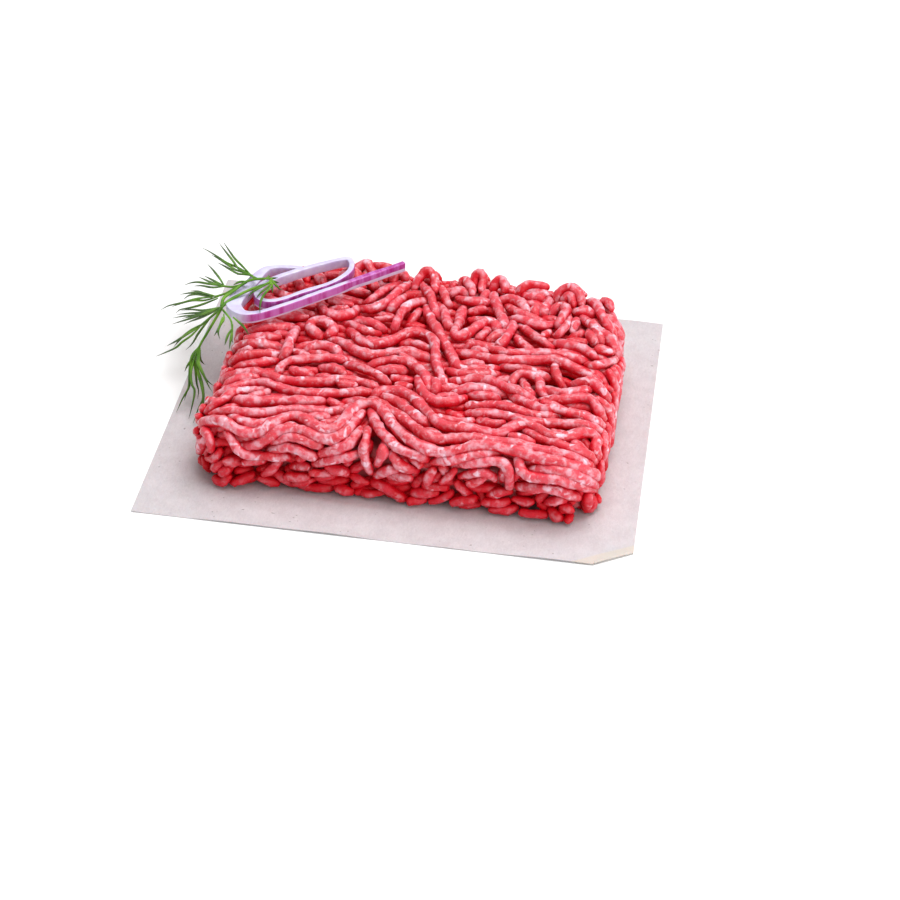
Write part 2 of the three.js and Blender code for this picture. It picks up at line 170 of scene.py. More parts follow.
FRONT_MIDDLE = [
    (-1, 1.4, [(-9, -34), (-6, -30), (-2, -27.5), (3, -28), (7, -31), (11, -36), (15, -41), (18, -46),
               (22, -49), (28, -49.5), (35, -48.5), (40, -49.5), (44, -52), (47, -49.5), (49.5, -45),
               (52, -41.5), (56, -40.5), (60, -43), (64, -47), (69, -48.5), (73, -47.5), (76, -44),
               (79, -41.5), (83, -42), (85, -47), (84, -53), (86, -59)]),
    (-1, 0.5, [(-6, -34.5), (-2, -34), (2, -35.5), (6, -39.5), (9, -43.5), (13, -47), (17, -51)]),
    (-1, 1.0, [(-8, -39.5), (-3, -40), (1, -43), (6, -47), (11, -51.5), (16, -56), (21, -58.5), (27, -57),
               (34, -55), (40, -55), (46, -56), (53, -56), (60, -57.5), (68, -58.5), (76, -59.5),
               (84, -63)]),
    (-1, 0.6, [(-8.5, -44), (-6, -48), (-3, -54), (0, -59), (4, -64), (9, -68), (15, -70.5), (21, -73)]),
    (-1, 0.8, [(-21, -75), (-16, -72.5), (-12, -69), (-10, -64), (-9, -58.5)]),
    (0, 1.2, [(-6.5, -57), (-6, -62), (-6, -68), (-5, -74), (-2.5, -79), (0, -84)]),
    (0, 0.8, [(2, -64), (2.5, -69), (3, -75), (1, -80)]),
    (-1, 0.4, [(6, -70), (8, -75), (12, -79), (18, -80)]),
    (-1, 0.4, [(-22, -82), (-16, -79), (-11, -76), (-7, -74)]),
]
FRONT_RIGHT = [
    (-1, 0.4, [(30, -26.5), (36, -25), (42, -26)]),
    (-1, 0.6, [(36, -19.5), (43, -19.5), (48, -22), (53, -26.5), (59, -30.5), (66, -31), (73, -30.5),
               (80, -32.5), (86, -37)]),
    (-1, 0.6, [(30, -34), (35, -31.5), (41, -30), (47, -31), (53, -33.5), (60, -35), (68, -34)]),
    (-1, 0.8, [(31, -40), (36, -37.5), (42, -36), (47, -36.5), (52, -39), (58, -39.5), (65, -38.5),
               (72, -37.5), (79, -37.5), (85, -41)]),
    (-1, 0.0, [(37, -45), (41, -43.5), (46, -44.5)]),
    (-1, 0.8, [(54, -47), (58, -48), (63, -51), (69, -52.5), (75, -53.5), (81, -57.5), (86, -62)]),
    (-1, 0.6, [(34, -71), (39, -68.5), (45, -67), (50, -68), (53.5, -72), (55, -78), (56, -83)]),
    (-1, 1.0, [(56, -64), (56.5, -69), (58, -74), (62, -76.5), (68, -76), (74, -75), (81, -77), (88, -80)]),
    (-1, 0.6, [(62, -72), (66, -70), (72, -69.5), (78, -71.5), (84, -74.5), (89, -78)]),
    (-1, 0.4, [(36, -81), (41, -76.5), (46, -76), (50, -80)]),
    (-1, 0.2, [(22, -73), (28, -72), (34, -68), (40, -65), (48, -64)]),
    (-1, 0.4, [(58, -82), (65, -83), (73, -82), (82, -84)]),
]
MIDDLE_LEFT = [
    (-1, 1.0, [(-68.5, 1), (-67, 6), (-62, 9), (-56, 9), (-52, 8)]),
    (0.5, 1.6, [(-50.5, 8), (-51.5, 3), (-51, -4), (-50.5, -9), (-51.5, -14)]),
    (-1, 0.4, [(-72.5, -13), (-71, -7.5), (-67, -5), (-61, -5), (-56, -5.5), (-53, -7)]),
    (-1, 0.4, [(-71.5, -22), (-69.5, -16), (-65, -13), (-59, -11.5), (-53, -12.5)]),
    (-1, 0.4, [(-68, -23.5), (-64, -20), (-59, -18), (-53, -18)]),
    (-1, 1.4, [(-50, -25), (-51, -20), (-49, -15), (-45, -12.5), (-39, -11.5), (-33, -9), (-29, -9),
               (-26, -12.5)]),
    (0, 0.4, [(-45, -23), (-41, -22.5), (-37, -24)]),
    (0, 1.2, [(-38, 4), (-43, 8), (-47, 12.5), (-45.5, 17), (-41, 18), (-36.5, 15), (-34, 10), (-35.5, 4)]),
    (-1, 1.0, [(-43, -8), (-42, -3), (-39, -0.5), (-35, -0.5), (-31, -2.5), (-28.5, -6), (-27, -10)]),
    (-1, 0.6, [(-36, 3.5), (-30, 3), (-26, 0.5), (-22, -3), (-16, -5), (-11, -3), (-7, 0), (-3, 1.5),
               (2, 0.5), (7, -2), (9.5, -6)]),
    (-1, 0.6, [(-33, -20), (-31, -16), (-28, -15.5), (-25, -18.5), (-23, -22)]),
]
MIDDLE = [
    (-1, 1.8, [(-27, 10), (-24, 7), (-21.5, 3.5), (-17, 2.5), (-12, 5.5), (-8, 10), (-5, 14.5), (-1, 17.5),
               (4, 16), (7.5, 12), (9.5, 6), (10.5, 0), (12, -6), (14.5, -12), (17, -18), (19, -21)]),
    (-1, 0.6, [(-4.5, 4), (-4, 7.5), (-1, 8.5), (3, 7.5), (6.5, 5.5), (8.5, 2.5)]),
    (-1, 1.0, [(-15, -14), (-12.5, -9), (-8, -5.5), (-2, -5.5), (2.5, -7.5), (6, -11.5), (9.5, -15),
               (12.5, -20), (14.5, -26)]),
    (-1, 0.2, [(-11, -16), (-6, -13), (-2, -12), (0.5, -14.5)]),
    (-1, 1.4, [(-26, -13.5), (-21, -13), (-16, -14.5), (-11, -17.5), (-7, -20.5), (-4.5, -24)]),
    (-1, 1.0, [(0, 36), (2.5, 30), (5.5, 23.5), (9, 17.5), (12, 11), (15, 6), (17.5, 1), (19.5, -4),
               (22, -8), (27, -8.5), (33, -6.5), (38, -5)]),
    (-1, 1.0, [(15.5, 35), (15.5, 28), (14.5, 20), (15, 15.5), (18, 15.5), (21, 20), (24, 26), (26, 30.5),
               (29, 31), (32, 27), (34.5, 22)]),
    (-1, 0.4, [(5, 36), (8.5, 29.5), (12, 24), (14, 19)]),
    (-1, 0.8, [(21, 7), (23, 11), (27, 11.5), (33, 9.5), (40, 8), (47, 9.5), (54, 11), (61, 11.5),
               (67, 9.5), (72, 6)]),
    (-1, 0.6, [(20, 4), (26, 4), (32, 1.5), (38, 1.5), (45, 3), (52, 5), (59, 6), (65, 4), (71, 0.5),
               (76, -3), (80, -8)]),
    (-1, 0.4, [(25.5, 14), (27, 19), (29, 23)]),
    (-1, 0.6, [(18, -12.5), (22, -12.5), (27, -10), (33, -9), (38, -11)]),
    (-1, 0.8, [(20, -20), (24, -16), (29, -13), (35, -14), (41, -17), (46, -20.5), (52, -23.5),
               (57, -27.5)]),
    (-1, 0.4, [(21, -25), (26, -21.5), (32, -20), (38, -20), (44, -23)]),
    (-1, 0.8, [(6.5, -16), (8, -21), (9.5, -26), (13, -31), (18, -33), (23, -31.5), (28, -29)]),
    (-1, 0.6, [(12, -17), (13.5, -22), (14.5, -27)]),
    (-1, 0.6, [(-30, 14.5), (-25, 14.5), (-20, 12), (-15, 11)]),
    (-1, 0.8, [(-28, 16), (-26, 20), (-21, 21), (-17, 18), (-14, 13.5)]),
]
MIDDLE_RIGHT = [
    (-1, 0.6, [(72, 5), (77, 5.5), (81, 8.5), (85, 13)]),
    (-1, 0.4, [(37, -2), (43, -3), (49, -2.5), (54, -4.5), (59, -8)]),
    (0, 1.4, [(59.5, 2.5), (61.5, -3), (63.5, -8), (66, -13)]),
    (-1, 0.8, [(44.5, -18), (44.5, -12), (46.5, -7), (51, -5.5), (55, -8), (57.5, -13), (58, -18),
               (61, -22)]),
    (-1, 0.2, [(48, -10), (50, -15), (52.5, -19.5), (55, -23)]),
    (-1, 0.8, [(57, -18), (63, -18), (69, -17), (74, -14), (78, -11)]),
    (-1, 0.8, [(59, -23), (65, -21.5), (71, -20), (76, -17), (79.5, -20), (82, -26), (84, -31)]),
    (-1, 0.6, [(69, -11), (74, -9), (79, -9), (82, -12), (83.5, -18)]),
    (-1, 0.6, [(57, 17), (63, 18.5), (69, 18), (73, 15.5), (76, 10.5)]),
    (-1, 1.0, [(39, 31), (44, 27), (49, 22.5), (54, 18), (58, 14)]),
    (-1, 0.4, [(41, 18), (46, 14), (50, 9.5)]),
    (0, 1.6, [(38.5, 32), (38, 25), (37, 18), (34.5, 10.5)]),
    (-1, 0.8, [(57, 22), (59, 28), (60, 34), (61, 40)]),
    (-1, 0.8, [(70, 33), (73, 26), (75, 20)]),
    (-1, 0.6, [(75, 32), (79, 25), (83, 18), (85, 13)]),
    (-1, 0.6, [(65, 40), (69, 35), (74, 29), (78, 22)]),
]
BACK_LEFT = [
    (0, 1.2, [(-44.5, 30), (-43.5, 26), (-40.5, 22.5), (-35.5, 21.5), (-31, 23.5), (-28, 28)]),
    (-1, 1.2, [(-26.5, 28), (-22.5, 29), (-19, 33), (-16.5, 39), (-14.5, 45), (-12, 51), (-9, 55)]),
    (0, 1.6, [(-25, 33), (-23.5, 39), (-21, 45), (-18, 51), (-14, 55)]),
    (-1, 1.8, [(-9.5, 14), (-10.5, 21), (-10, 28), (-9, 34), (-6.5, 39), (-3, 40.5), (0.5, 37.5)]),
    (-1, 1.0, [(-14.5, 30), (-13.5, 36), (-10.5, 40)]),
    (-1, 0.6, [(-28, 55), (-25, 49), (-23, 44)]),
    (-1, 0.6, [(-24, 57), (-20, 51), (-17, 46)]),
    (-1, 1.0, [(-21, 61), (-16.5, 56)]),
    (-1, 0.6, [(-60, 50), (-57, 44), (-54, 38)]),
    (-1, 0.6, [(-53, 56), (-49, 50), (-46, 44)]),
    (-1, 0.4, [(-66, 36), (-61, 32), (-55, 30)]),
]
BACK_MIDDLE = [
    (-1, 1.2, [(2, 55), (4.5, 49.5), (7, 43), (10, 37)]),
    (-1, 1.0, [(-8, 57), (-5, 53), (-2, 48.5), (0, 43), (2.5, 37.5), (6, 32), (9.5, 27)]),
    (-1, 1.2, [(4, 56), (6, 60), (8.5, 58.5), (9, 54)]),
    (-1, 1.4, [(9, 45), (9, 50), (11.5, 53.5), (15, 52), (18, 47)]),
    (-1, 1.4, [(23, 55), (22.5, 50), (22, 46)]),
    (0, 1.2, [(12.5, 42.5), (17, 44), (22, 44.5), (27, 44)]),
    (-1, 1.4, [(28.5, 44), (30.5, 49), (35, 50), (39, 47), (42, 42), (46, 38)]),
    (-1, 1.0, [(26.5, 49), (29.5, 42), (32, 35), (35, 29), (37, 24)]),
    (-1, 0.8, [(34, 56), (40, 57), (46, 56), (50, 51)]),
    (-1, 0.6, [(40, 50), (45, 53), (49, 48)]),
]
BACK_RIGHT = [
    (-1, 0.8, [(34, 40.5), (40, 38), (46, 35), (53, 34)]),
    (-1, 1.2, [(37, 32), (43, 32), (49, 30), (54, 31)]),
    (-1, 1.8, [(53, 38), (53.5, 45), (55.5, 49.5), (58.5, 47.5), (59.5, 42), (58.5, 35), (57.5, 29)]),
    (-1, 1.4, [(61, 48), (63, 54), (66.5, 56.5), (70, 53.5), (72, 48), (75, 41), (79, 34), (82, 27)]),
    (-1, 0.8, [(62, 41.5), (66, 44), (71, 43)]),
    (-1, 0.6, [(76, 50), (79, 44), (82, 37), (84.5, 30), (86, 23)]),
    (-1, 0.6, [(49, 55), (50, 49), (49.5, 43), (50, 37)]),
    (-1, 0.6, [(46, 46), (44, 41), (46, 36)]),
]

# Hairpins that stand up from the back edge, and one strand inside the onion's bend, as points of the frame
STANDING = [
    [(-8, 52, 28), (-7, 57, 32), (-5.5, 59.5, 34.6), (-3.5, 60, 35.8), (-1.5, 59.5, 34.8), (0, 57, 32),
     (2.5, 51, 30)],
    [(16, 57, 28), (16.4, 60, 32), (17.2, 61, 35), (18.8, 61, 36.8), (20.6, 60.5, 35), (21.2, 58, 32),
     (22, 53, 30)],
    [(-6.5, 64, 26), (-4.5, 64.5, 30), (-2, 64, 31), (0, 63, 28)],
    [(15, 64.5, 26), (18, 65, 30.5), (21, 64, 30)],
    [(10, 57, 28), (11.5, 60, 32), (13.5, 59, 34), (15, 55, 32), (17, 50, 30.5)],
    [(25, 57, 28), (26, 60, 32), (28, 61, 34.5), (30, 59.5, 33), (31, 55, 31)],
    [(52, 54, 28), (53.5, 57, 32), (56.5, 58, 35), (60, 57.5, 36), (62.5, 55.5, 33.5), (64, 51, 31)],
    [(56.5, 53, 31), (57.5, 55.5, 33), (60, 54.5, 33.5), (61, 50, 31)],
    [(54, 62, 28), (57, 63, 31), (61, 62, 31), (64, 60, 29)],
    [(-30, 55, 28), (-27, 58.5, 32), (-23.5, 59.5, 34), (-20, 57, 32.5), (-18, 52, 31)],
    [(-18, 58, 28), (-16, 60, 31.5), (-13.5, 58.5, 32.5), (-12, 54, 31)],
    [(-41, 50, 28), (-39.5, 54, 31.5), (-37, 56.5, 33), (-34, 55, 32.5), (-32, 50, 30.5)],
    [(-36, 57, 28), (-34.5, 60, 32), (-31.5, 61.5, 34.6), (-28.5, 60.5, 34), (-27, 56, 31)],
    [(-28, 56, 30), (-26, 59.5, 33), (-23.5, 61, 34.4), (-21, 58, 33), (-19.5, 53, 31)],
    [(70, 53, 28), (72, 56, 31), (75, 55, 32.5), (77, 50, 31)],
    [(36, 57, 28), (39, 60, 31.5), (43, 60, 32.5), (47, 58, 31.5)],
    [(-75, 12, 30), (-75.5, 17, 32), (-75, 23, 33), (-73, 29, 32.5), (-70, 34, 31)],
]
ROUTES = (
    FRONT_LEFT + FRONT_MIDDLE + FRONT_RIGHT + MIDDLE_LEFT + MIDDLE + MIDDLE_RIGHT
    + BACK_LEFT + BACK_MIDDLE + BACK_RIGHT
)

# Where the block bulges or is drawn in: x, y, the way that it is moved in x and y, and the radius
BULGES = [
    (88, 62, -6.0, -3.0, 26),
    (-78, -60, -2.5, -1.5, 22),
    (84, -66, 0.5, -3.0, 18),
    (-64, -66, 0.0, -2.5, 10),
    (88, 20, -1.2, 0.0, 40),
]

# Lines: the distance between their points, and how many pieces each span of a smooth line is worked out in
STEP = 1.4
SPAN_PIECES = 12

# The top layer: the distance between rows, how far strands of each kind keep clear of those before them,
# the shortest piece that is kept, how far a strand's end dives, and how far rows sink with the hollows
ROW_PITCH = 5.0
FOOT_PITCH = 5.5
CLEARANCE = 3.5
FOOT_CLEARANCE = CLEARANCE - 1.3
SHRED_CLEARANCE = CLEARANCE - 0.8
FILLER_CLEARANCE = CLEARANCE - 0.5
SHORTEST = 6.0
END_DIVE = 1.6
ROW_SINK = 0.6
SHRED_TRIES = 2600
FILLER_TRIES = 1500

# The under layer, which lies closer and lower
UNDER_PITCH = 4.6
UNDER_LIFT = -3.2
UNDER_SIDE_LIFT = -2.4
UNDER_CLEARANCE = 0.5 * CLEARANCE
UNDER_SHRED_CLEARANCE = CLEARANCE - 1.2
UNDER_SINK = 0.4

# The settling: its rounds, how often the near pairs are looked up and with what margin, the share of a
# pair's overlap that one round takes away, and what holds a strand straight and near its place
SETTLING_ROUNDS = 48
PAIR_ROUNDS = 12
PAIR_MARGIN = 2
PAIR_BLOCK = 500
OWN_NEIGHBOURS = 4
PRESSED_GAP = 3.5
PUSH = 0.3
LONGEST_MOVE = 0.6
STRAIGHTENING = 0.25
PULL_HOME = 0.02
FARTHEST_DRIFT = 1.7

# The angles of the rings that round off a tube's end
CAP_ANGLES = np.radians([72, 48, 24])

# The seed of all random draws
SEED = 11


# The unrolled surface of the block: a sheet point is a place in plan, measured along the surface where it
# goes over the edge and down the side, and a lift is a height above that surface
def drape(sheet, lift):
    """Places of points on the block's unrolled surface, raised outwards by lift."""
    core = HALF_SIZE - CORNER_RADIUS
    flat = np.clip(sheet, BLOCK_MIDDLE - core, BLOCK_MIDDLE + core)
    out = sheet - flat
    length = np.linalg.norm(out, axis=1)
    out = out / np.maximum(length, 1e-9)[:, None]
    reach = length - CORNER_RADIUS
    turn = np.clip(reach, 0, ROUNDING) / EDGE_RADIUS
    drop = np.clip(reach - ROUNDING, 0, SIDE)
    radius = EDGE_RADIUS + lift
    sideways = CORNER_RADIUS + radius * np.sin(turn) - BASE_INSET * drop
    sideways = np.where(reach <= 0, length, sideways)
    height = TOP - EDGE_RADIUS + radius * np.cos(turn) - drop
    return np.column_stack([bulged(flat + out * sideways[:, None]), np.maximum(height, LOWEST)])


def bulged(plan):
    """Places in plan, moved where the block bulges."""
    moved = plan.copy()
    for x, y, dx, dy, radius in BULGES:
        near = np.exp(-(((plan - (x, y)) ** 2).sum(1)) / radius**2)
        moved += near[:, None] * (dx, dy)
    return moved


def as_seen(place):
    """Where the camera sees places, on SEEN_LEVEL."""
    scale = (EYE[2] - SEEN_LEVEL) / (EYE[2] - place[:, 2])
    return EYE[:2] + (place[:, :2] - EYE[:2]) * scale[:, None]


def on_sheet(seen, lift):
    """The points of the unrolled surface that the camera sees at the given places, found in small steps."""
    sheet = seen.copy()
    outer = HALF_SIZE + ROUNDING + SIDE
    for _ in range(40):
        miss = seen - as_seen(drape(sheet, lift))
        sheet += np.clip(0.6 * miss, -3, 3)
        sheet = np.clip(sheet, BLOCK_MIDDLE - outer, BLOCK_MIDDLE + outer)
    return sheet


def fold_shift(sheet):
    """How far the folds shift the rows along y."""
    shift = np.zeros(len(sheet))
    for x, y, height, left, right, reach in FOLDS:
        across = (sheet[:, 0] - x) / np.where(sheet[:, 0] < x, left, right)
        along = (sheet[:, 1] - y) / reach
        shift += height * np.exp(-(across**2) - along**2)
    return shift


def hollow_depth(sheet):
    """How far the heap sinks in its hollows."""
    depth = np.zeros(len(sheet))
    for x, y, radius, deep in HOLLOWS:
        apart = np.hypot(sheet[:, 0] - x, sheet[:, 1] - y)
        depth = np.maximum(depth, deep * np.exp(-((apart / radius) ** 2)))
    return depth


# Routes of strands
def through(points, step=STEP, closed=False):
    """A smooth line through given points, flat or in space, with a point at every step."""
    points = np.array(points, float)
    if closed:
        ends = np.vstack([points[-1:], points, points[:2]])
    else:
        ends = np.vstack([2 * points[0] - points[1], points, 2 * points[-1] - points[-2]])
    t = np.linspace(0, 1, SPAN_PIECES, endpoint=False)[:, None]
    pieces = []
    for a, b, c, d in zip(ends, ends[1:], ends[2:], ends[3:]):
        pieces.append(
            b + 0.5 * (c - a) * t + (a - 2.5 * b + 2 * c - 0.5 * d) * t**2
            + (1.5 * b - 0.5 * a - 1.5 * c + 0.5 * d) * t**3
        )
    return evenly(np.vstack(pieces + [ends[-2:-1]]), step)


def evenly(line, step):
    """The same line with its points a step apart."""
    run = np.concatenate([[0], np.cumsum(np.linalg.norm(np.diff(line, axis=0), axis=1))])
    places = np.linspace(0, run[-1], max(3, round(run[-1] / step) + 1))
    return np.column_stack([np.interp(places, run, column) for column in line.T])


def seen_strand(ends, middle, points):
    """A strand along its route as the camera sees it: its sheet points and its lift."""
    line = through(points)
    hump = np.sqrt(np.sin(np.linspace(0, math.pi, len(line))).clip(0))
    lift = ends + (middle - ends) * hump - END_DIVE * (1 - hump) ** 2
    return on_sheet(line, lift), lift


def standing_strand(points):
    """The sheet points and the lift that stand for a strand given as points of the frame."""
    line = through(points)
    return line[:, :2], np.zeros(len(line))


def row(y, lift, chance):
    """One row along the block, from low on its left side to low on its right side."""
    outer = HALF_SIZE[0] + ROUNDING
    start = BLOCK_MIDDLE[0] - outer - chance.uniform(0.3, 1) * SIDE
    end = BLOCK_MIDDLE[0] + outer + chance.uniform(0.3, 1) * SIDE
    x = np.arange(start, end, STEP)
    phase = chance.uniform(0, 2 * math.pi)
    wave = chance.uniform(0.5, 1.8) * np.sin(x / chance.uniform(5, 9) + phase)
    sheet = np.column_stack([x, np.full_like(x, y)])
    sheet[:, 1] += fold_shift(sheet) + wave
    ripple = 0.8 * np.sin(x / chance.uniform(6, 10) + 2 * phase)
    return sheet, lift + ripple


def short_strand(middle, angle, length, lift, chance):
    """A short bent strand on the unrolled surface."""
    t = np.linspace(-1, 1, max(4, round(length / STEP)))
    along = np.array([math.cos(angle), math.sin(angle)])
    aside = np.array([-along[1], along[0]])
    bow = chance.uniform(-2.5, 2.5)
    sheet = middle + t[:, None] * along * length / 2 + (bow * (1 - t**2))[:, None] * aside
    return sheet, lift - 2.2 * t**4


def free_stretches(sheet, lift, laid, clearance):
    """The parts of a strand that run clear of the strands laid before it."""
    apart = np.full(len(sheet), np.inf)
    if len(laid):
        apart = np.sqrt(((sheet[:, None] - laid[None]) ** 2).sum(2).min(1))
    stretches = []
    start = None
    for i, free in enumerate([*(apart > clearance), False]):
        if free and start is None:
            start = i
        if not free and start is not None:
            if (i - start) * STEP >= SHORTEST:
                stretches.append((sheet[start:i], lift[start:i]))
            start = None
    return stretches


class Layer:
    """Strands of one layer, each laid where it runs clear of those before it."""

    def __init__(self, strands):
        self.strands = strands
        self.laid = np.vstack([sheet for sheet, _ in strands]) if strands else np.zeros((0, 2))

    def lay(self, sheet, lift, clearance):
        """Adds the parts of a strand that run clear."""
        for stretch in free_stretches(sheet, lift, self.laid, clearance):
            self.strands.append(stretch)
            self.laid = np.vstack([self.laid, stretch[0]])

    def lay_rows(self, pitch, level, clearance, chance):
        """Rows over the top and its rounded edges."""
        reach = HALF_SIZE[1] + 0.75 * ROUNDING
        for y in np.arange(BLOCK_MIDDLE[1] - reach, BLOCK_MIDDLE[1] + reach, pitch):
            sheet, lift = row(y, level, chance)
            self.lay(sheet, lift - ROW_SINK * hollow_depth(sheet), clearance)

    def lay_foot(self, level, clearance, chance):
        """Ragged short pieces round the block's foot."""
        reach = HALF_SIZE + ROUNDING + SIDE
        for axis, side in ((0, -1), (1, 1), (0, 1), (1, -1)):
            half = HALF_SIZE[axis] + 0.35 * ROUNDING
            for along in np.arange(-half, half, FOOT_PITCH):
                middle = np.zeros(2)
                middle[axis] = along + chance.uniform(-2, 2)
                middle[1 - axis] = side * (reach[1 - axis] - chance.uniform(0, 3))
                angle = chance.normal(0, 0.4) + axis * math.pi / 2
                sheet, lift = short_strand(
                    middle + BLOCK_MIDDLE, angle, chance.uniform(7, 16), level, chance
                )
                self.lay(sheet, lift + chance.uniform(-0.8, 0.8), clearance)

    def lay_shreds(self, tries, level, clearance, chance):
        """Short pieces at all angles on the sides."""
        outer = HALF_SIZE + ROUNDING + SIDE + 1
        for _ in range(tries):
            middle = BLOCK_MIDDLE + outer * chance.uniform(-1, 1, 2)
            beyond = np.abs(middle - BLOCK_MIDDLE) - HALF_SIZE - 0.7 * ROUNDING
            if beyond.max() < 0 or beyond.min() > 0:
                continue
            angle = chance.normal(0, 0.75)
            if beyond[0] > 0:
                angle += chance.choice([0.7, math.pi / 2])
            sheet, lift = short_strand(middle, angle, chance.uniform(6, 15), level, chance)
            self.lay(sheet, lift + chance.uniform(-0.8, 1.0), clearance)

    def lay_fillers(self, tries, level, clearance, chance):
        """Short pieces on the top, along the strands round them."""
        for _ in range(tries):
            middle = BLOCK_MIDDLE + (HALF_SIZE + ROUNDING) * chance.uniform(-1, 1, 2)
            lean = 0.9 if middle[1] > 22 else 0.0
            angle = chance.normal(lean, 0.5)
            sheet, lift = short_strand(middle, angle, chance.uniform(8, 22), level, chance)
            self.lay(sheet, lift - ROW_SINK * hollow_depth(sheet), clearance)


def top_strands(chance):
    """The strands that show: those with a set route, then rows, side pieces and fillers between them."""
    layer = Layer([seen_strand(*route) for route in ROUTES])
    layer.lay_rows(ROW_PITCH, 0, CLEARANCE, chance)
    layer.lay_foot(0, FOOT_CLEARANCE, chance)
    layer.lay_shreds(SHRED_TRIES, 0, SHRED_CLEARANCE, chance)
    layer.lay_fillers(FILLER_TRIES, 0, FILLER_CLEARANCE, chance)
    return layer.strands


def under_strands(chance):
    """The layer below, which shows between the strands and in the hollows."""
    layer = Layer([])
    layer.lay_rows(UNDER_PITCH, UNDER_LIFT, UNDER_CLEARANCE, chance)
    layer.lay_foot(UNDER_SIDE_LIFT, FOOT_CLEARANCE, chance)
    layer.lay_shreds(SHRED_TRIES, UNDER_SIDE_LIFT, UNDER_SHRED_CLEARANCE, chance)
    return [(sheet, lift - UNDER_SINK * hollow_depth(sheet)) for sheet, lift in layer.strands]


# Settling of the strands against each other
def close_pairs(places, strand, index, near):
    """Pairs of points of the strands that are near each other, without a point's own neighbours."""
    firsts, seconds = [], []
    for start in range(0, len(places), PAIR_BLOCK):
        block = places[start : start + PAIR_BLOCK]
        apart = ((block[:, None] - places[None]) ** 2).sum(2)
        first, second = np.nonzero(apart < near**2)
        first += start
        neighbours = np.abs(index[first] - index[second]) <= OWN_NEIGHBOURS
        keep = (first < second) & ~(neighbours & (strand[first] == strand[second]))
        firsts.append(first[keep])
        seconds.append(second[keep])
    return np.concatenate(firsts), np.concatenate(seconds)


def settle(lines, rounds):
    """The strands' lines, pushed apart until they press on each other without running together."""
    places = np.vstack(lines).astype(np.float32)
    strand = np.concatenate([np.full(len(line), i) for i, line in enumerate(lines)])
    index = np.concatenate([np.arange(len(line)) for line in lines])
    home = places.copy()
    inner = np.nonzero((strand[1:-1] == strand[:-2]) & (strand[1:-1] == strand[2:]))[0] + 1
    for turn in range(rounds):
        if turn % PAIR_ROUNDS == 0:
            first, second = close_pairs(places, strand, index, PRESSED_GAP + PAIR_MARGIN)
        gap = places[second] - places[first]
        apart = np.maximum(np.linalg.norm(gap, axis=1), 1e-3)
        push = gap * (np.clip(PRESSED_GAP - apart, 0, None) / apart * PUSH)[:, None]
        move = np.zeros_like(places)
        np.add.at(move, second, push)
        np.add.at(move, first, -push)
        places += np.clip(move, -LONGEST_MOVE, LONGEST_MOVE)
        middle = (places[inner - 1] + places[inner + 1]) / 2
        places[inner] += STRAIGHTENING * (middle - places[inner])
        places += PULL_HOME * (home - places)
        drift = np.linalg.norm(places - home, axis=1)[:, None]
        places = home + (places - home) * np.minimum(1, FARTHEST_DRIFT / np.maximum(drift, 1e-6))
        places[:, 2] = np.maximum(places[:, 2], LOWEST)
    return np.split(places, np.cumsum([len(line) for line in lines])[:-1])


# Meshes of strands, stems and needles
def tube(line, radii, sides):
    """Points and faces of a closed tube along a line, with rounded ends."""
    way = np.gradient(line, axis=0)
    way /= np.maximum(np.linalg.norm(way, axis=1), 1e-9)[:, None]
    first, last = radii[0], radii[-1]
    cap, rounds = CAP_ANGLES, len(CAP_ANGLES)
    centres = np.vstack(
        [
            line[0] - np.outer(np.sin(cap), way[0]) * first,
            line,
            line[-1] + np.outer(np.sin(cap[::-1]), way[-1]) * last,
        ]
    )
    widths = np.concatenate([first * np.cos(cap), radii, last * np.cos(cap[::-1])])
    ways = np.vstack([np.repeat(way[:1], rounds, 0), way, np.repeat(way[-1:], rounds, 0)])
    rings = []
    side = np.cross(ways[0], [0.3, 0.2, 1.0])
    for centre, forward, width in zip(centres, ways, widths):
        side = side - forward * side.dot(forward)
        side /= max(np.linalg.norm(side), 1e-9)
        angle = np.linspace(0, 2 * math.pi, sides, endpoint=False)[:, None]
        rings.append(centre + width * (np.cos(angle) * side + np.sin(angle) * np.cross(forward, side)))
    tips = [line[0] - way[0] * first, line[-1] + way[-1] * last]
    points = np.vstack(rings + tips)
    start = np.arange(len(centres) - 1)[:, None] * sides
    corner = np.arange(sides)[None]
    after = (corner + 1) % sides
    quads = np.stack(
        [start + corner, start + after, start + sides + after, start + sides + corner], 2
    ).reshape(-1, 4)
    tail, head = len(points) - 2, len(points) - 1
    end = (len(centres) - 1) * sides
    fans = [(tail, (i + 1) % sides, i) for i in range(sides)]
    fans += [(head, end + i, end + (i + 1) % sides) for i in range(sides)]
    return points, quads, fans


def over_points(numbers, sides):
    """Numbers of a tube's line, repeated for all the points round it and at its ends."""
    rounds = len(CAP_ANGLES)
    rings = np.concatenate([numbers[:1].repeat(rounds, 0), numbers, numbers[-1:].repeat(rounds, 0)])
    return np.concatenate([rings.repeat(sides, 0), numbers[:1], numbers[-1:]])


def tubes_object(name, tubes, **shades):
    """One object from many tubes; each shade is an attribute, with one number per point for each tube."""
    points, faces = [], []
    count = 0
    for line, radii, sides in tubes:
        tube_points, quads, fans = tube(line, radii, sides)
        points.append(tube_points)
        faces += (quads + count).tolist()
        faces += [tuple(i + count for i in fan) for fan in fans]
        count += len(tube_points)
    mesh = bpy.data.meshes.new(name)
    mesh.from_pydata((np.vstack(points) * MM).tolist(), [], faces)
    for shade, numbers in shades.items():
        values = np.concatenate([numbers[i](points[i]) for i in range(len(tubes))])
        attribute = mesh.attributes.new(shade, "FLOAT", "POINT")
        attribute.data.foreach_set("value", values.astype(np.float32))
    thing = bpy.data.objects.new(name, mesh)
    bpy.context.scene.collection.objects.link(thing)
    select_only(thing)
    bpy.ops.object.shade_smooth()
    return thing


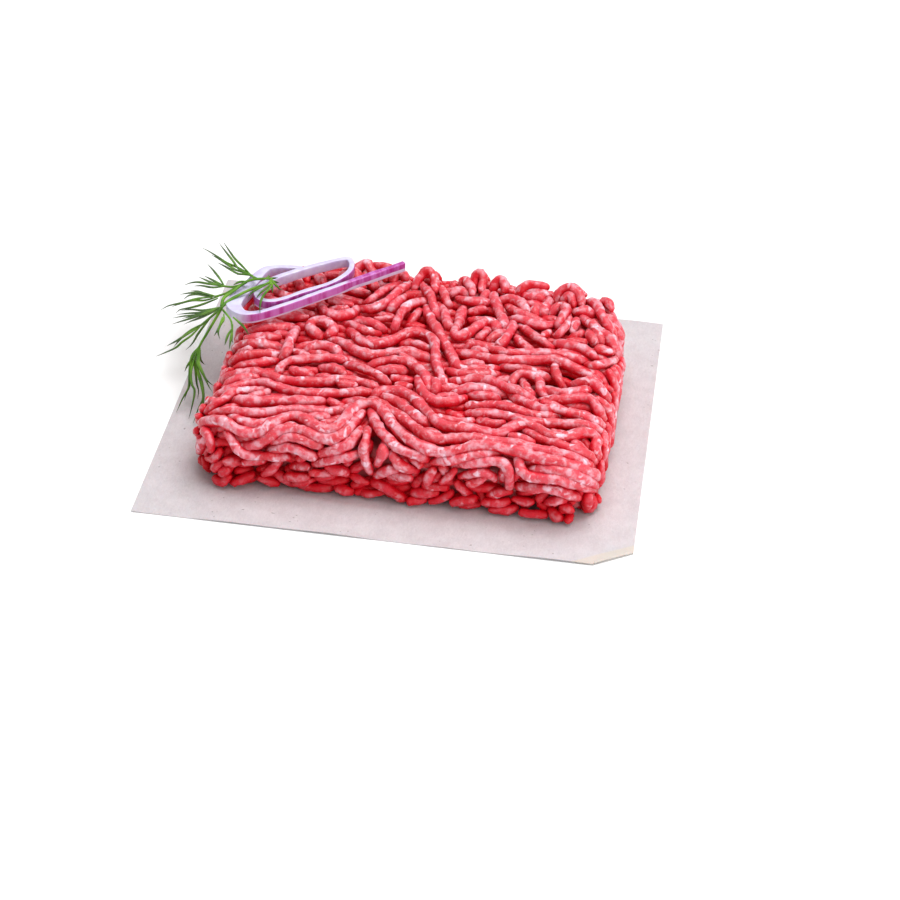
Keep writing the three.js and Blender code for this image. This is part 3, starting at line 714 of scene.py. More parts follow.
def select_only(thing):
    """Makes a thing the only selected one, and the active one."""
    bpy.ops.object.select_all(action="DESELECT")
    thing.select_set(True)
    bpy.context.view_layer.objects.active = thing


def roughened(thing, *layers):
    """Gives a piece relief; each layer is the size of its lumps and how high they stand, in mm."""
    select_only(thing)
    for size, height in layers:
        texture = bpy.data.textures.new(f"{thing.name} relief", "CLOUDS")
        texture.noise_scale = size * MM
        texture.noise_depth = 1
        bpy.ops.object.modifier_add(type="DISPLACE")
        relief = thing.modifiers[-1]
        relief.texture = texture
        relief.texture_coords = "LOCAL"
        relief.strength = height * MM
        bpy.ops.object.modifier_apply(modifier=relief.name)


# Materials
class Number:
    """A socket that carries a number, so that shader maths reads as plain arithmetic."""

    def __init__(self, paint, socket):
        self.paint = paint
        self.socket = socket

    def maths(self, operation, first, second):
        """One sum, product or difference, as a node."""
        return self.paint.node("ShaderNodeMath", {"operation": operation}, {0: first, 1: second})

    def __add__(self, other):
        return self.maths("ADD", self, other)

    __radd__ = __add__

    def __mul__(self, other):
        return self.maths("MULTIPLY", self, other)

    __rmul__ = __mul__

    def __sub__(self, other):
        return self.maths("SUBTRACT", self, other)

    def __rsub__(self, other):
        return self.maths("SUBTRACT", other, self)

    def over(self, low, high):
        """0 below low, 1 above high and a smooth step between."""
        return self.paint.node(
            "ShaderNodeMapRange",
            {"interpolation_type": "SMOOTHSTEP", "clamp": True},
            {"Value": self, "From Min": low, "From Max": high},
        )


class Paint:
    """A material with one Principled shader, and what makes its nodes."""

    def __init__(self, name, **constants):
        self.material = bpy.data.materials.new(name)
        self.material.use_nodes = True
        self.tree = self.material.node_tree
        self.shader = self.tree.nodes["Principled BSDF"]
        for socket, value in constants.items():
            self.shader.inputs[socket.replace("_", " ")].default_value = value
        self.place = self.node("ShaderNodeTexCoord", {}, {}, "Object")

    def node(self, kind, options, inputs, output=0):
        """Adds a node: its options first, then the values or links of its sockets."""
        made = self.tree.nodes.new(kind)
        for name, value in options.items():
            setattr(made, name, value)
        for name, value in inputs.items():
            self.feed(made.inputs[name], value)
        return Number(self, made.outputs[output])

    def feed(self, socket, value):
        """Links a number to a socket, or sets a plain value or colour on it."""
        if isinstance(value, Number):
            self.tree.links.new(value.socket, socket)
        elif socket.type == "RGBA" and len(value) == 3:
            socket.default_value = (*value, 1.0)
        else:
            socket.default_value = value

    def noise(self, size, detail=2.0, distortion=0.0, stretch=(1, 1, 1)):
        """Noise from 0 to 1 with lumps of a size in millimetres."""
        where = self.node("ShaderNodeMapping", {}, {"Vector": self.place, "Scale": stretch})
        inputs = {"Vector": where, "Scale": 1 / (size * MM), "Detail": detail, "Distortion": distortion}
        return self.node("ShaderNodeTexNoise", {}, inputs)

    def mix(self, factor, first, second):
        """The first colour where the factor is 0, the second where it is 1."""
        return self.node(
            "ShaderNodeMix", {"data_type": "RGBA"}, {0: factor, 6: first, 7: second}, output=2
        )

    def attribute(self, name):
        """A number that the mesh carries at its points."""
        return self.node("ShaderNodeAttribute", {"attribute_name": name}, {}, "Fac")

    def relief(self, height, depth):
        """Fine relief, as deep as depth millimetres, over the whole surface."""
        bump = self.node("ShaderNodeBump", {}, {"Height": height, "Distance": depth * MM, "Strength": 1.0})
        self.feed(self.shader.inputs["Normal"], bump)

    def show(self, **links):
        """Links what varies to the shader and gives the finished material."""
        for socket, value in links.items():
            self.feed(self.shader.inputs[socket.replace("_", " ")], value)
        return self.material


def mince_material(colours):
    """Wet raw mince: red flesh, fatty blotches, flecks and grey specks, with painted shade and a painted
    highlight.
    """
    paint = Paint(
        "raw_mince",
        Subsurface_Weight=0.25,
        Subsurface_Radius=(1.0, 0.2, 0.2),
        Subsurface_Scale=2.2 * MM,
        Coat_Roughness=0.18,
        Specular_IOR_Level=0.2,
    )
    # The depth attribute carries painted shade: strong in the hollows, on the strands' flanks and low on
    # the block
    deep = paint.attribute("depth").over(0.0, 1.0)
    tone = paint.attribute("tone")
    flesh = paint.mix(paint.noise(9, 3).over(0.3, 0.7), colours.flesh, colours.flesh_deep)
    marbling = paint.noise(3.4, 2, 0.3) + tone * 0.1
    blotches = paint.noise(4.6, 2, 0.4).over(0.6, 0.7)
    flecks = paint.noise(1.1, 2, 0.4).over(0.58, 0.76)
    # A painted pale highlight along the top of each strand
    crest_highlight = 1.0 - paint.attribute("depth").over(0.0, 0.45)
    # The mask of the pale fatty colour: marbling, blotches and flecks, plus a little of the painted
    # highlight
    fat_and_sheen = marbling.over(0.46, 0.78) * 0.52 + blotches * 0.66 + flecks * 0.24 + crest_highlight * 0.08
    # Painted shade: the pale fatty colour fades out where the painted shade is strong
    fat_and_sheen = fat_and_sheen * (1.0 - (deep * 1.35).over(0, 1))
    colour = paint.mix(fat_and_sheen, flesh, colours.fat_and_sheen)
    # The grey specks fade out in the painted shade
    specks = paint.noise(0.55, 2).over(0.6, 0.72) * 0.32 * (1.0 - deep)
    colour = paint.mix(specks, colour, colours.speck)
    # Painted shade: a darker, more saturated red, as strong as the depth attribute
    colour = paint.mix(deep * 0.9, colour, colours.hollow_shade)
    grain = paint.noise(0.8, 3) + paint.noise(2.4, 2) * 1.2
    paint.relief(grain, 0.3)
    rough = 0.3 + paint.noise(1.6, 2) * 0.24
    coat = 0.32 * (1.0 - deep)
    return paint.show(Base_Color=colour, Roughness=rough, Coat_Weight=coat)


def paper_material(colours):
    """Greaseproof paper: fine fibres, a faint mottle, the odd dark speck, and painted shade and reflection
    along the fold.
    """
    paint = Paint("greaseproof_paper", Subsurface_Weight=0.1, Subsurface_Scale=1 * MM)
    fibres = paint.noise(0.8, 3, 1.0, (1, 0.45, 1)) * 0.6 + paint.noise(7, 3) * 0.5
    colour = paint.mix(fibres.over(0.3, 0.8), colours.paper_shade, colours.paper)
    specks = paint.noise(1.4, 0).over(0.83, 0.86)
    colour = paint.mix(specks * 0.7, colour, colours.paper_speck)
    # A painted beige shade and reflection along the fold, where the corner lies double
    colour = paint.mix(paint.attribute("fold").over(0.0, 1.0) * 0.6, colour, colours.fold_shade_and_reflection)
    paint.relief(fibres, 0.08)
    rough = 0.52 + paint.noise(2.5, 2) * 0.2
    return paint.show(Base_Color=colour, Roughness=rough)


# Where the front ring's look changes, in millimetres along it from its right end: the turned end, where the
# skin shows on top too, the paler run, and the bend, where no skin shows. Each change begins at the first
# number and is full at the second. The back ring's numbers begin at BACK_RING_START.
TURNED_END = (24, 34)
PALE_RUN_START = (26, 36)
PALE_RUN_END = (66, 76)
BEND_START = (74, 82)
BEND_END = (180, 190)
BACK_RING_START = 200.0


def onion_material(colours):
    """Red onion: striped purple outside, pale lilac flesh inside, on the cuts and in the left bend."""
    paint = Paint(
        "red_onion",
        Subsurface_Weight=0.35,
        Subsurface_Radius=(0.9, 0.7, 0.9),
        Subsurface_Scale=2 * MM,
        Coat_Weight=0.25,
        Coat_Roughness=0.12,
    )
    along = paint.attribute("along")
    spot = paint.node("ShaderNodeCombineXYZ", {}, {"X": along * 0.32, "Y": 0.5})
    bands = paint.node("ShaderNodeTexNoise", {}, {"Vector": spot, "Scale": 1.0, "Detail": 2.0})
    streaks = paint.noise(1.1, 2, 0.3, (1, 1, 0.25))
    run = along.over(*PALE_RUN_START) - along.over(*PALE_RUN_END)
    pale = (bands + streaks * 0.3 + run * 0.13).over(0.5, 0.82)
    purple = paint.mix(pale, colours.onion_skin, colours.onion_skin_pale)
    end = 1.0 - along.over(*TURNED_END)
    rim = (paint.attribute("rise") - end * 0.2).over(0.16, 0.24)
    bend = along.over(*BEND_START) - along.over(*BEND_END)
    outside = (paint.attribute("outside") + end).over(0.35, 0.85) * rim * (1.0 - bend)
    flesh = paint.mix(paint.noise(4, 2).over(0.3, 0.7), colours.onion_flesh, colours.onion_flesh_shade)
    paint.relief(streaks + paint.noise(0.7, 2) * 0.4, 0.12)
    rough = 0.26 + paint.noise(1.5, 2) * 0.14
    return paint.show(Base_Color=paint.mix(outside, flesh, purple), Roughness=rough)


def dill_material(colours):
    """Fresh dill: mid green with darker tips and a pale stem."""
    paint = Paint("dill", Specular_IOR_Level=0.3)
    tip = paint.attribute("depth").over(0.0, 1.0)
    green = paint.mix(paint.noise(6, 2).over(0.35, 0.65), colours.dill, colours.dill_light)
    colour = paint.mix(tip * 0.88, green, colours.dill_dark)
    paint.relief(paint.noise(0.6, 2, 0, (1, 1, 0.3)), 0.1)
    rough = 0.42 + paint.noise(1.2, 2) * 0.2
    return paint.show(Base_Color=colour, Roughness=rough)


# Settings that a user would change
def colour_property(name, description, default):
    """A colour that the panel shows."""
    return FloatVectorProperty(
        name=name, description=description, subtype="COLOR", size=3, min=0, max=1, default=default
    )


class MinceColours(bpy.types.PropertyGroup):
    """Colours of the pieces."""

    flesh: colour_property("Flesh", "Red of the lean meat", (0.73, 0.02, 0.046))
    flesh_deep: colour_property("Deeper flesh", "Red of the darker lean meat", (0.63, 0.005, 0.015))
    # Also the colour of the painted pale highlight along the top of each strand
    fat_and_sheen: colour_property("Fat", "Pink white of the fat", (0.92, 0.61, 0.71))
    speck: colour_property("Specks", "Grey of the small specks", (0.36, 0.17, 0.26))
    # Painted shade: the darker red that stands in for shade in the hollows, on the flanks and low on the
    # block
    hollow_shade: colour_property("Hollows", "Red of the strands deep in the hollows", (0.66, 0.002, 0.01))
    paper: colour_property("Paper", "White of the paper", (0.6, 0.56, 0.578))
    paper_shade: colour_property("Paper mottle", "Grey of the paper's fibres", (0.5, 0.455, 0.475))
    paper_speck: colour_property("Paper specks", "Colour of the specks in the paper", (0.2, 0.17, 0.16))
    # Painted beige shade and reflection along the fold
    fold_shade_and_reflection: colour_property("Folded paper", "Painted shade and reflection along the fold, where the corner is double", (0.62, 0.53, 0.43))
    onion_skin: colour_property("Onion skin", "Purple of the rings' outside", (0.42, 0.02, 0.26))
    onion_skin_pale: colour_property("Pale onion skin", "Its pale streaks", (0.56, 0.18, 0.55))
    onion_flesh: colour_property("Onion flesh", "Pale lilac of the cuts", (0.68, 0.66, 0.85))
    onion_flesh_shade: colour_property("Onion veins", "Lilac in the flesh", (0.6, 0.52, 0.76))
    dill: colour_property("Dill", "Green of the needles", (0.07, 0.2, 0.01))
    dill_light: colour_property("Light dill", "Light green of the stems", (0.17, 0.37, 0.03))
    dill_dark: colour_property("Dark dill", "Dark green of the tips", (0.022, 0.05, 0.01))


class MinceSizes(bpy.types.PropertyGroup):
    """Sizes of the pieces."""

    strand: FloatProperty(
        name="Strand", description="Diameter of a strand", default=STRAND * MM, unit="LENGTH", precision=4
    )
    strand_sides: IntProperty(name="Strand sides", description="Sides of a strand", default=12, min=6)
    needle: FloatProperty(
        name="Needle", description="Width of a dill needle", default=0.95 * MM, unit="LENGTH", precision=4
    )
    onion_wall: FloatProperty(
        name="Onion wall", description="Thickness of the onion layer", default=2.3 * MM, unit="LENGTH",
        precision=4,
    )
    lamp: FloatProperty(
        name="Lamp", description="Power of the soft lamp above", default=30.0, unit="POWER", min=0
    )


def settings():
    """The sizes and the colours that are set in the scene."""
    scene = bpy.context.scene
    return scene.mince_sizes, scene.mince_colours


def hand_over(piece, nodes):
    """Puts a finished piece in the frame."""
    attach(piece, "root")
    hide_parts(*nodes)


# The pieces
def strand_radii(line, chance, radius):
    """A strand's radius along its line: no two are alike, and none is quite even."""
    run = np.arange(len(line)) * STEP
    size = radius * chance.uniform(0.86, 1.1)
    swell = 0.07 * np.sin(run / chance.uniform(2.5, 5) + chance.uniform(0, 6))
    swell += 0.03 * np.sin(run / chance.uniform(1.5, 2.2) + chance.uniform(0, 6))
    slimmer_ends = 0.22 * np.exp(-np.minimum(run, run[-1] - run) / 1.6)
    return size * (1 + swell - slimmer_ends)


def outwards(sheet, lift):
    """The ways that the block's surface faces along a strand."""
    way = drape(sheet, lift + 1) - drape(sheet, lift) + (0, 0, 1e-3)
    return way / np.linalg.norm(way, axis=1)[:, None]


def flank_shade(line, sheet, lift, sides, radius):
    """Painted shade of each point of a strand: strong deep in the heap, on its flanks and low on the block,
    little on its upper side.
    """

    def shade(points):
        middle = over_points(line, sides)
        facing = ((points - middle) * over_points(outwards(sheet, lift), sides)).sum(1) / radius
        # Painted shade on the side of a strand that faces into the heap
        flank = 0.5 * np.clip(0.9 - facing, 0, 1.4)
        # Painted shade, stronger towards the bottom of the block
        low = 0.45 * np.clip(1 - points[:, 2] / 24, 0, 1)
        # Painted shade where the strand lies deep in the heap, added to the other two
        return np.clip(over_points(-lift - 1, sides) / 7, 0, 1) + flank + low

    return shade


def even_shade(tone):
    """The same number for all points of a tube."""
    return lambda points: np.full(len(points), tone)


def shade_along(numbers, sides):
    """A number for each point of a tube's line, the same all round the tube."""
    return lambda points: over_points(numbers, sides)


class MINCE_OT_strands(bpy.types.Operator):
    """Lays the strands of the block, top layer and under layer, settled against each other"""

    bl_idname = "mince.strands"
    bl_label = "Strands"

    def execute(self, context):
        sizes, colours = settings()
        chance = np.random.default_rng(SEED)
        top = top_strands(chance)
        standing = [standing_strand(points) for points in STANDING]
        under = under_strands(chance)
        laid = top + standing + under
        starts = [drape(*strand) for strand in top]
        starts += [through(points) for points in STANDING]
        starts += [drape(*strand) for strand in under]
        lines = settle(starts, SETTLING_ROUNDS)
        material = mince_material(colours)
        radius = sizes.strand / MM / 2
        sides = sizes.strand_sides
        shown = len(top) + len(standing)
        groups = {"mince_strands": (0, shown), "mince_under_layer": (shown, len(laid))}
        for name, (start, end) in groups.items():
            tubes, painted_shades, tones = [], [], []
            for line, (sheet, lift) in zip(lines[start:end], laid[start:end]):
                tubes.append((line, strand_radii(line, chance, radius), sides))
                # Each strand's painted shade, kept as its depth attribute
                painted_shades.append(flank_shade(line, sheet, lift, sides, radius))
                tones.append(even_shade(chance.uniform(0, 1)))
            heap = tubes_object(name, tubes, depth=painted_shades, tone=tones)
            roughened(heap, (3.2, 1.2), (1.2, 0.6))
            heap.data.materials.append(material)
            hand_over(heap, ["mince"])
        return {"FINISHED"}


# The core: how far it stays below the top strands, its foot above the block's, its bevel and its cuts
CORE_DEPTH = 9.0
CORE_FOOT = 1.0
CORE_BEVEL = 5
CORE_CUTS = 24


class MINCE_OT_core(bpy.types.Operator):
    """Shapes the pressed meat inside the block, which shows at the bottom of the hollows"""

    bl_idname = "mince.core"
    bl_label = "Core"

    def execute(self, context):
        top = TOP - CORE_DEPTH
        foot = FOOT + CORE_FOOT
        size = (*(BLOCK_SIZE - 2 * (CORE_DEPTH - 1)), top - foot)
        middle = (*BLOCK_MIDDLE, (top + foot) / 2)
        bpy.ops.object.select_all(action="DESELECT")
        bpy.ops.mesh.primitive_cube_add(size=1, location=Vector(middle) * MM)
        core = bpy.context.object
        core.name = "mince_core"
        core.scale = Vector(size) * MM
        bpy.ops.object.transform_apply(location=True, rotation=True, scale=True)
        bpy.ops.object.mode_set(mode="EDIT")
        bpy.ops.mesh.select_all(action="SELECT")
        bpy.ops.mesh.bevel(offset=CORE_BEVEL * MM, segments=3, affect="EDGES")
        bpy.ops.mesh.subdivide(number_cuts=CORE_CUTS)
        bpy.ops.object.mode_set(mode="OBJECT")
        bpy.ops.object.shade_smooth()
        roughened(core, (5, 2.4), (2, 1.0))
        # Painted shade: the whole core gets the full depth, so it is all the darker red of the hollows
        attribute = core.data.attributes.new("depth", "FLOAT", "POINT")
        attribute.data.foreach_set("value", np.ones(len(core.data.vertices), np.float32))
        core.data.materials.append(bpy.data.materials["raw_mince"])
        hand_over(core, ["mince"])
        return {"FINISHED"}


# The paper: its corners, its thickness, its least gap to the floor and how finely it is divided
PAPER_CORNERS = [(-97.4, -87.9), (105.0, -88.0), (96.0, 88.3), (-100.0, 87.6)]
PAPER_THICKNESS = 0.35
PAPER_GAP = 0.02
PAPER_GRID = (120, 104)

# Its fold: where it runs, how far the corner under it drops, the width along it that is double and gets a
# painted beige shade and reflection, and where the sheet rises over it
FOLD_START = np.array([89.5, -88.2])
FOLD_END = np.array([104.3, -78.0])
FOLD_WAY = (FOLD_END - FOLD_START) / np.linalg.norm(FOLD_END - FOLD_START)
FOLD_OUT = np.array([FOLD_WAY[1], -FOLD_WAY[0]])
FLAP_DROP = 0.4
FOLD_SHADE_WIDTH = 5.0
RISE_X, RISE_Y = 96.6, -83.1

# The half length and half depth that the block keeps flat, and the crease in front of it
FLAT_LENGTH, FLAT_DEPTH = 82, 66
CREASE_LEFT, CREASE_RIGHT = -42, 8
CREASE_Y = -69.0


def beyond_fold(x, y):
    """How far a spot of the sheet is beyond the fold."""
    return float((np.array([x, y]) - FOLD_START).dot(FOLD_OUT))


def paper_height(x, y):
    """The sheet's gentle waves, which die out under the block, its rise at the fold and its crease."""
    edge = np.maximum(np.abs(x - BLOCK_MIDDLE[0]) / FLAT_LENGTH, np.abs(y - BLOCK_MIDDLE[1]) / FLAT_DEPTH)
    free = np.clip((edge - 1.02) / 0.25, 0, 1)
    waves = 0.35 + 0.3 * np.sin(x / 17 + y / 31) + 0.2 * np.sin(x / 7 - y / 23)
    near_fold = np.exp(-(((x - RISE_X) ** 2 + (y - RISE_Y) ** 2) / 130))
    crease = CREASE_Y + 6 * np.exp(-(x + 38) / 13)
    ridge = np.exp(-(((y - crease) / 1.5) ** 2)) * (CREASE_LEFT < x < CREASE_RIGHT)
    return free * waves + near_fold * 0.55 + ridge * 0.45


class MINCE_OT_paper(bpy.types.Operator):
    """Lays the sheet of greaseproof paper, with its front right corner folded under"""

    bl_idname = "mince.paper"
    bl_label = "Paper"

    def execute(self, context):
        _, colours = settings()
        bpy.ops.object.select_all(action="DESELECT")
        columns, rows = PAPER_GRID
        bpy.ops.mesh.primitive_grid_add(x_subdivisions=columns, y_subdivisions=rows, size=1)
        paper = bpy.context.object
        paper.name = "greaseproof_paper"
        front_left, front_right, back_right, back_left = (np.array(c) for c in PAPER_CORNERS)
        for vertex in paper.data.vertices:
            u, v = vertex.co.x + 0.5, vertex.co.y + 0.5
            front = front_left + (front_right - front_left) * u
            back = back_left + (back_right - back_left) * u
            place = front + (back - front) * v
            vertex.co = Vector((*place, 0)) * MM
        self.fold_corner(paper)
        fold = paper.data.attributes.new("fold", "FLOAT", "POINT")
        for vertex in paper.data.vertices:
            x, y, z = vertex.co / MM
            vertex.co.z = (PAPER_THICKNESS + max(z + paper_height(x, y), PAPER_GAP)) * MM
            # The band along the fold that gets the painted beige shade and reflection
            fold.data[vertex.index].value = FOLD_SHADE_WIDTH - abs(beyond_fold(x, y))
        select_only(paper)
        bpy.ops.object.modifier_add(type="SOLIDIFY")
        paper.modifiers[-1].thickness = PAPER_THICKNESS * MM
        paper.modifiers[-1].offset = -1
        bpy.ops.object.modifier_apply(modifier=paper.modifiers[-1].name)
        bpy.ops.object.shade_smooth_by_angle(angle=math.radians(50))
        paper.data.materials.append(paper_material(colours))
        hand_over(paper, ["paper"])
        return {"FINISHED"}

    def fold_corner(self, paper):
        """Cuts the sheet along the fold and turns the corner beyond it under."""
        select_only(paper)
        bpy.ops.object.mode_set(mode="EDIT")
        bpy.ops.mesh.select_all(action="SELECT")
        bpy.ops.mesh.bisect(plane_co=Vector((*FOLD_START, 0)) * MM, plane_no=(*FOLD_OUT, 0))
        bpy.ops.object.mode_set(mode="OBJECT")
        for vertex in paper.data.vertices:
            beyond = beyond_fold(*(vertex.co.xy / MM))
            if beyond > 1e-3:
                place = np.array(vertex.co[:2]) / MM - 2 * beyond * FOLD_OUT
                drop = -FLAP_DROP * min(beyond / 2, 1)
                vertex.co = Vector((*place, drop)) * MM


# The onion rings: how high a ring is, the level that it rests on, how much each ring climbs to the right
# over the length SLOPE_RUN, and each ring's plan round its outer side
ONION_HEIGHT = 4.3
ONION_REST = 34.4
SLOPE_RUN = 70
FRONT_SLOPE = 1.6
BACK_SLOPE = 1.2
FRONT_RING = [
    (-12.5, 54.5), (-34.5, 34), (-59.5, 10.5), (-71, 4), (-80, 9), (-81, 18), (-77, 30), (-73.5, 40),
    (-68, 44.5), (-55.5, 45.5),
]
BACK_RING = [
    (-40, 55), (-34.5, 52), (-34, 43.5), (-39.5, 34), (-50.5, 24), (-61.5, 15), (-70, 17.5),
    (-70.5, 29), (-57.5, 42.5),
]
RING_STEP = 1.4
RING_EDGE = 0.35

# The left bend, where the wall is wider, and how deep in the wall the skin and the inner side begin
BEND_X = -82
BEND_REACH = 9
BEND_WIDENING = 4.4
SKIN_DEPTH = 0.25
INNER_DEPTH = 1


def inwards(line):
    """The ways from the outer side of a ring to its middle."""
    way = np.gradient(line, axis=0)
    way = np.column_stack([way[:, 1], -way[:, 0]])
    return way / np.linalg.norm(way, axis=1)[:, None]


class MINCE_OT_onion(bpy.types.Operator):
    """Sets the two rings of red onion on the block's back left corner"""

    bl_idname = "mince.onion"
    bl_label = "Onion rings"

    def execute(self, context):
        sizes, colours = settings()
        wall = sizes.onion_wall / MM
        material = onion_material(colours)
        self.ring("onion_front", "onion_ring_front", FRONT_RING, False, FRONT_SLOPE, wall, material)
        self.ring("onion_back", "onion_ring_back", BACK_RING, True, BACK_SLOPE, wall, material)
        return {"FINISHED"}

    def ring(self, name, node, points, closed, slope, wall, material):
        """Extrudes a standing edge along the plan, then thickens the band inwards."""
        line = through(points, RING_STEP, closed)
        heights = ONION_REST + slope * (1 + (line[:, 0] - points[0][0]) / SLOPE_RUN)
        places = np.column_stack([line, heights]) * MM
        bpy.ops.object.select_all(action="DESELECT")
        bpy.ops.mesh.primitive_grid_add(x_subdivisions=1, y_subdivisions=4, size=1)
        ring = bpy.context.object
        ring.name = name
        for vertex in ring.data.vertices:
            step = 0 if vertex.co.x < 0 else 1
            vertex.co = Vector(places[step]) + Vector((0, 0, (vertex.co.y + 0.5) * ONION_HEIGHT * MM))
        bpy.ops.object.mode_set(mode="EDIT")
        bpy.ops.mesh.select_all(action="DESELECT")
        bpy.ops.object.mode_set(mode="OBJECT")
        for vertex in ring.data.vertices:
            vertex.select = (vertex.co.xy - Vector(places[1][:2])).length < 1e-6
        for edge in ring.data.edges:
            edge.select = all(ring.data.vertices[i].select for i in edge.vertices)
        bpy.ops.object.mode_set(mode="EDIT")
        bpy.ops.mesh.select_mode(type="EDGE")
        for before, after in zip(places[1:], places[2:]):
            bpy.ops.mesh.extrude_edges_move(TRANSFORM_OT_translate={"value": tuple(after - before)})
        if closed:
            bpy.ops.mesh.select_all(action="SELECT")
            bpy.ops.mesh.remove_doubles(threshold=0.02 * MM)
        bpy.ops.object.mode_set(mode="OBJECT")
        facing = Vector((*inwards(line)[0], 0)).dot(ring.data.polygons[0].normal)
        self.thicken(ring, wall, 1 if facing > 0 else -1)
        self.mark(ring, line, heights, BACK_RING_START if closed else 0)
        ring.data.materials.append(material)
        hand_over(ring, [node])

    def thicken(self, ring, wall, side):
        """Turns the band into a wall, on the given side of its faces."""
        select_only(ring)
        bpy.ops.object.modifier_add(type="SOLIDIFY")
        shell = ring.modifiers[-1]
        shell.thickness = wall * MM
        shell.offset = side
        bpy.ops.object.modifier_apply(modifier=shell.name)
        bpy.ops.object.modifier_add(type="BEVEL")
        rim = ring.modifiers[-1]
        rim.width = RING_EDGE * MM
        rim.segments = 2
        rim.limit_method = "ANGLE"
        bpy.ops.object.modifier_apply(modifier=rim.name)
        bpy.ops.object.shade_smooth_by_angle(angle=math.radians(40))
        roughened(ring, (9, 0.5))

    def mark(self, ring, line, heights, start):
        """Widens the wall in the left bend and notes on the mesh what the colours go by."""
        mesh = ring.data
        along, outside, rise = (
            mesh.attributes.new(name, "FLOAT", "POINT") for name in ("along", "outside", "rise")
        )
        way = inwards(line)
        for vertex in mesh.vertices:
            place = np.array(vertex.co[:2]) / MM
            nearest = np.argmin(((line - place) ** 2).sum(1))
            depth = (place - line[nearest]).dot(way[nearest])
            along.data[vertex.index].value = nearest * RING_STEP + start
            outside.data[vertex.index].value = float(depth < SKIN_DEPTH)
            rise.data[vertex.index].value = (vertex.co.z / MM - heights[nearest]) / ONION_HEIGHT
            if depth > INNER_DEPTH:
                from_bend = (line[nearest][0] - BEND_X) / BEND_REACH
                widening = BEND_WIDENING * math.exp(-(from_bend**2))
                vertex.co += Vector((*(way[nearest] * widening), 0)) * MM


# The dill's stems: each has its width, its height at both ends and its route as the camera sees it on
# SEEN_LEVEL
DILL_STEMS = [
    (1.5, 38, 43, [(-85.5, 21), (-86, 27), (-83.5, 32.5), (-81, 38.5), (-79, 42), (-76, 44),
                   (-72.5, 45)]),
    (1.4, 38, 43, [(-85, 20.5), (-83, 26), (-78, 33.5), (-73.5, 38.5), (-70, 42), (-69.5, 45.5)]),
    (1.2, 42, 40, [(-76, 44.5), (-77.5, 45.5), (-79.5, 47)]),
    (1.2, 41, 34, [(-79.5, 41), (-81, 38.5), (-84.5, 36), (-88.5, 36)]),
    (1.2, 40, 32, [(-83, 35.5), (-86, 30.5), (-89.5, 27.5)]),
    (1.2, 38, 22, [(-85, 19.5), (-87.5, 12.5), (-90, 5.5), (-91.5, 1.5)]),
    (1.3, 38, 20, [(-85, 19.5), (-85.5, 11.5), (-86, 4.5), (-86.5, -2.5), (-87, -8.5), (-87, -14)]),
    (1.0, 38, 37.5, [(-84, 17.5), (-80.5, 13), (-78.5, 9.5), (-77, 4.5)]),
]

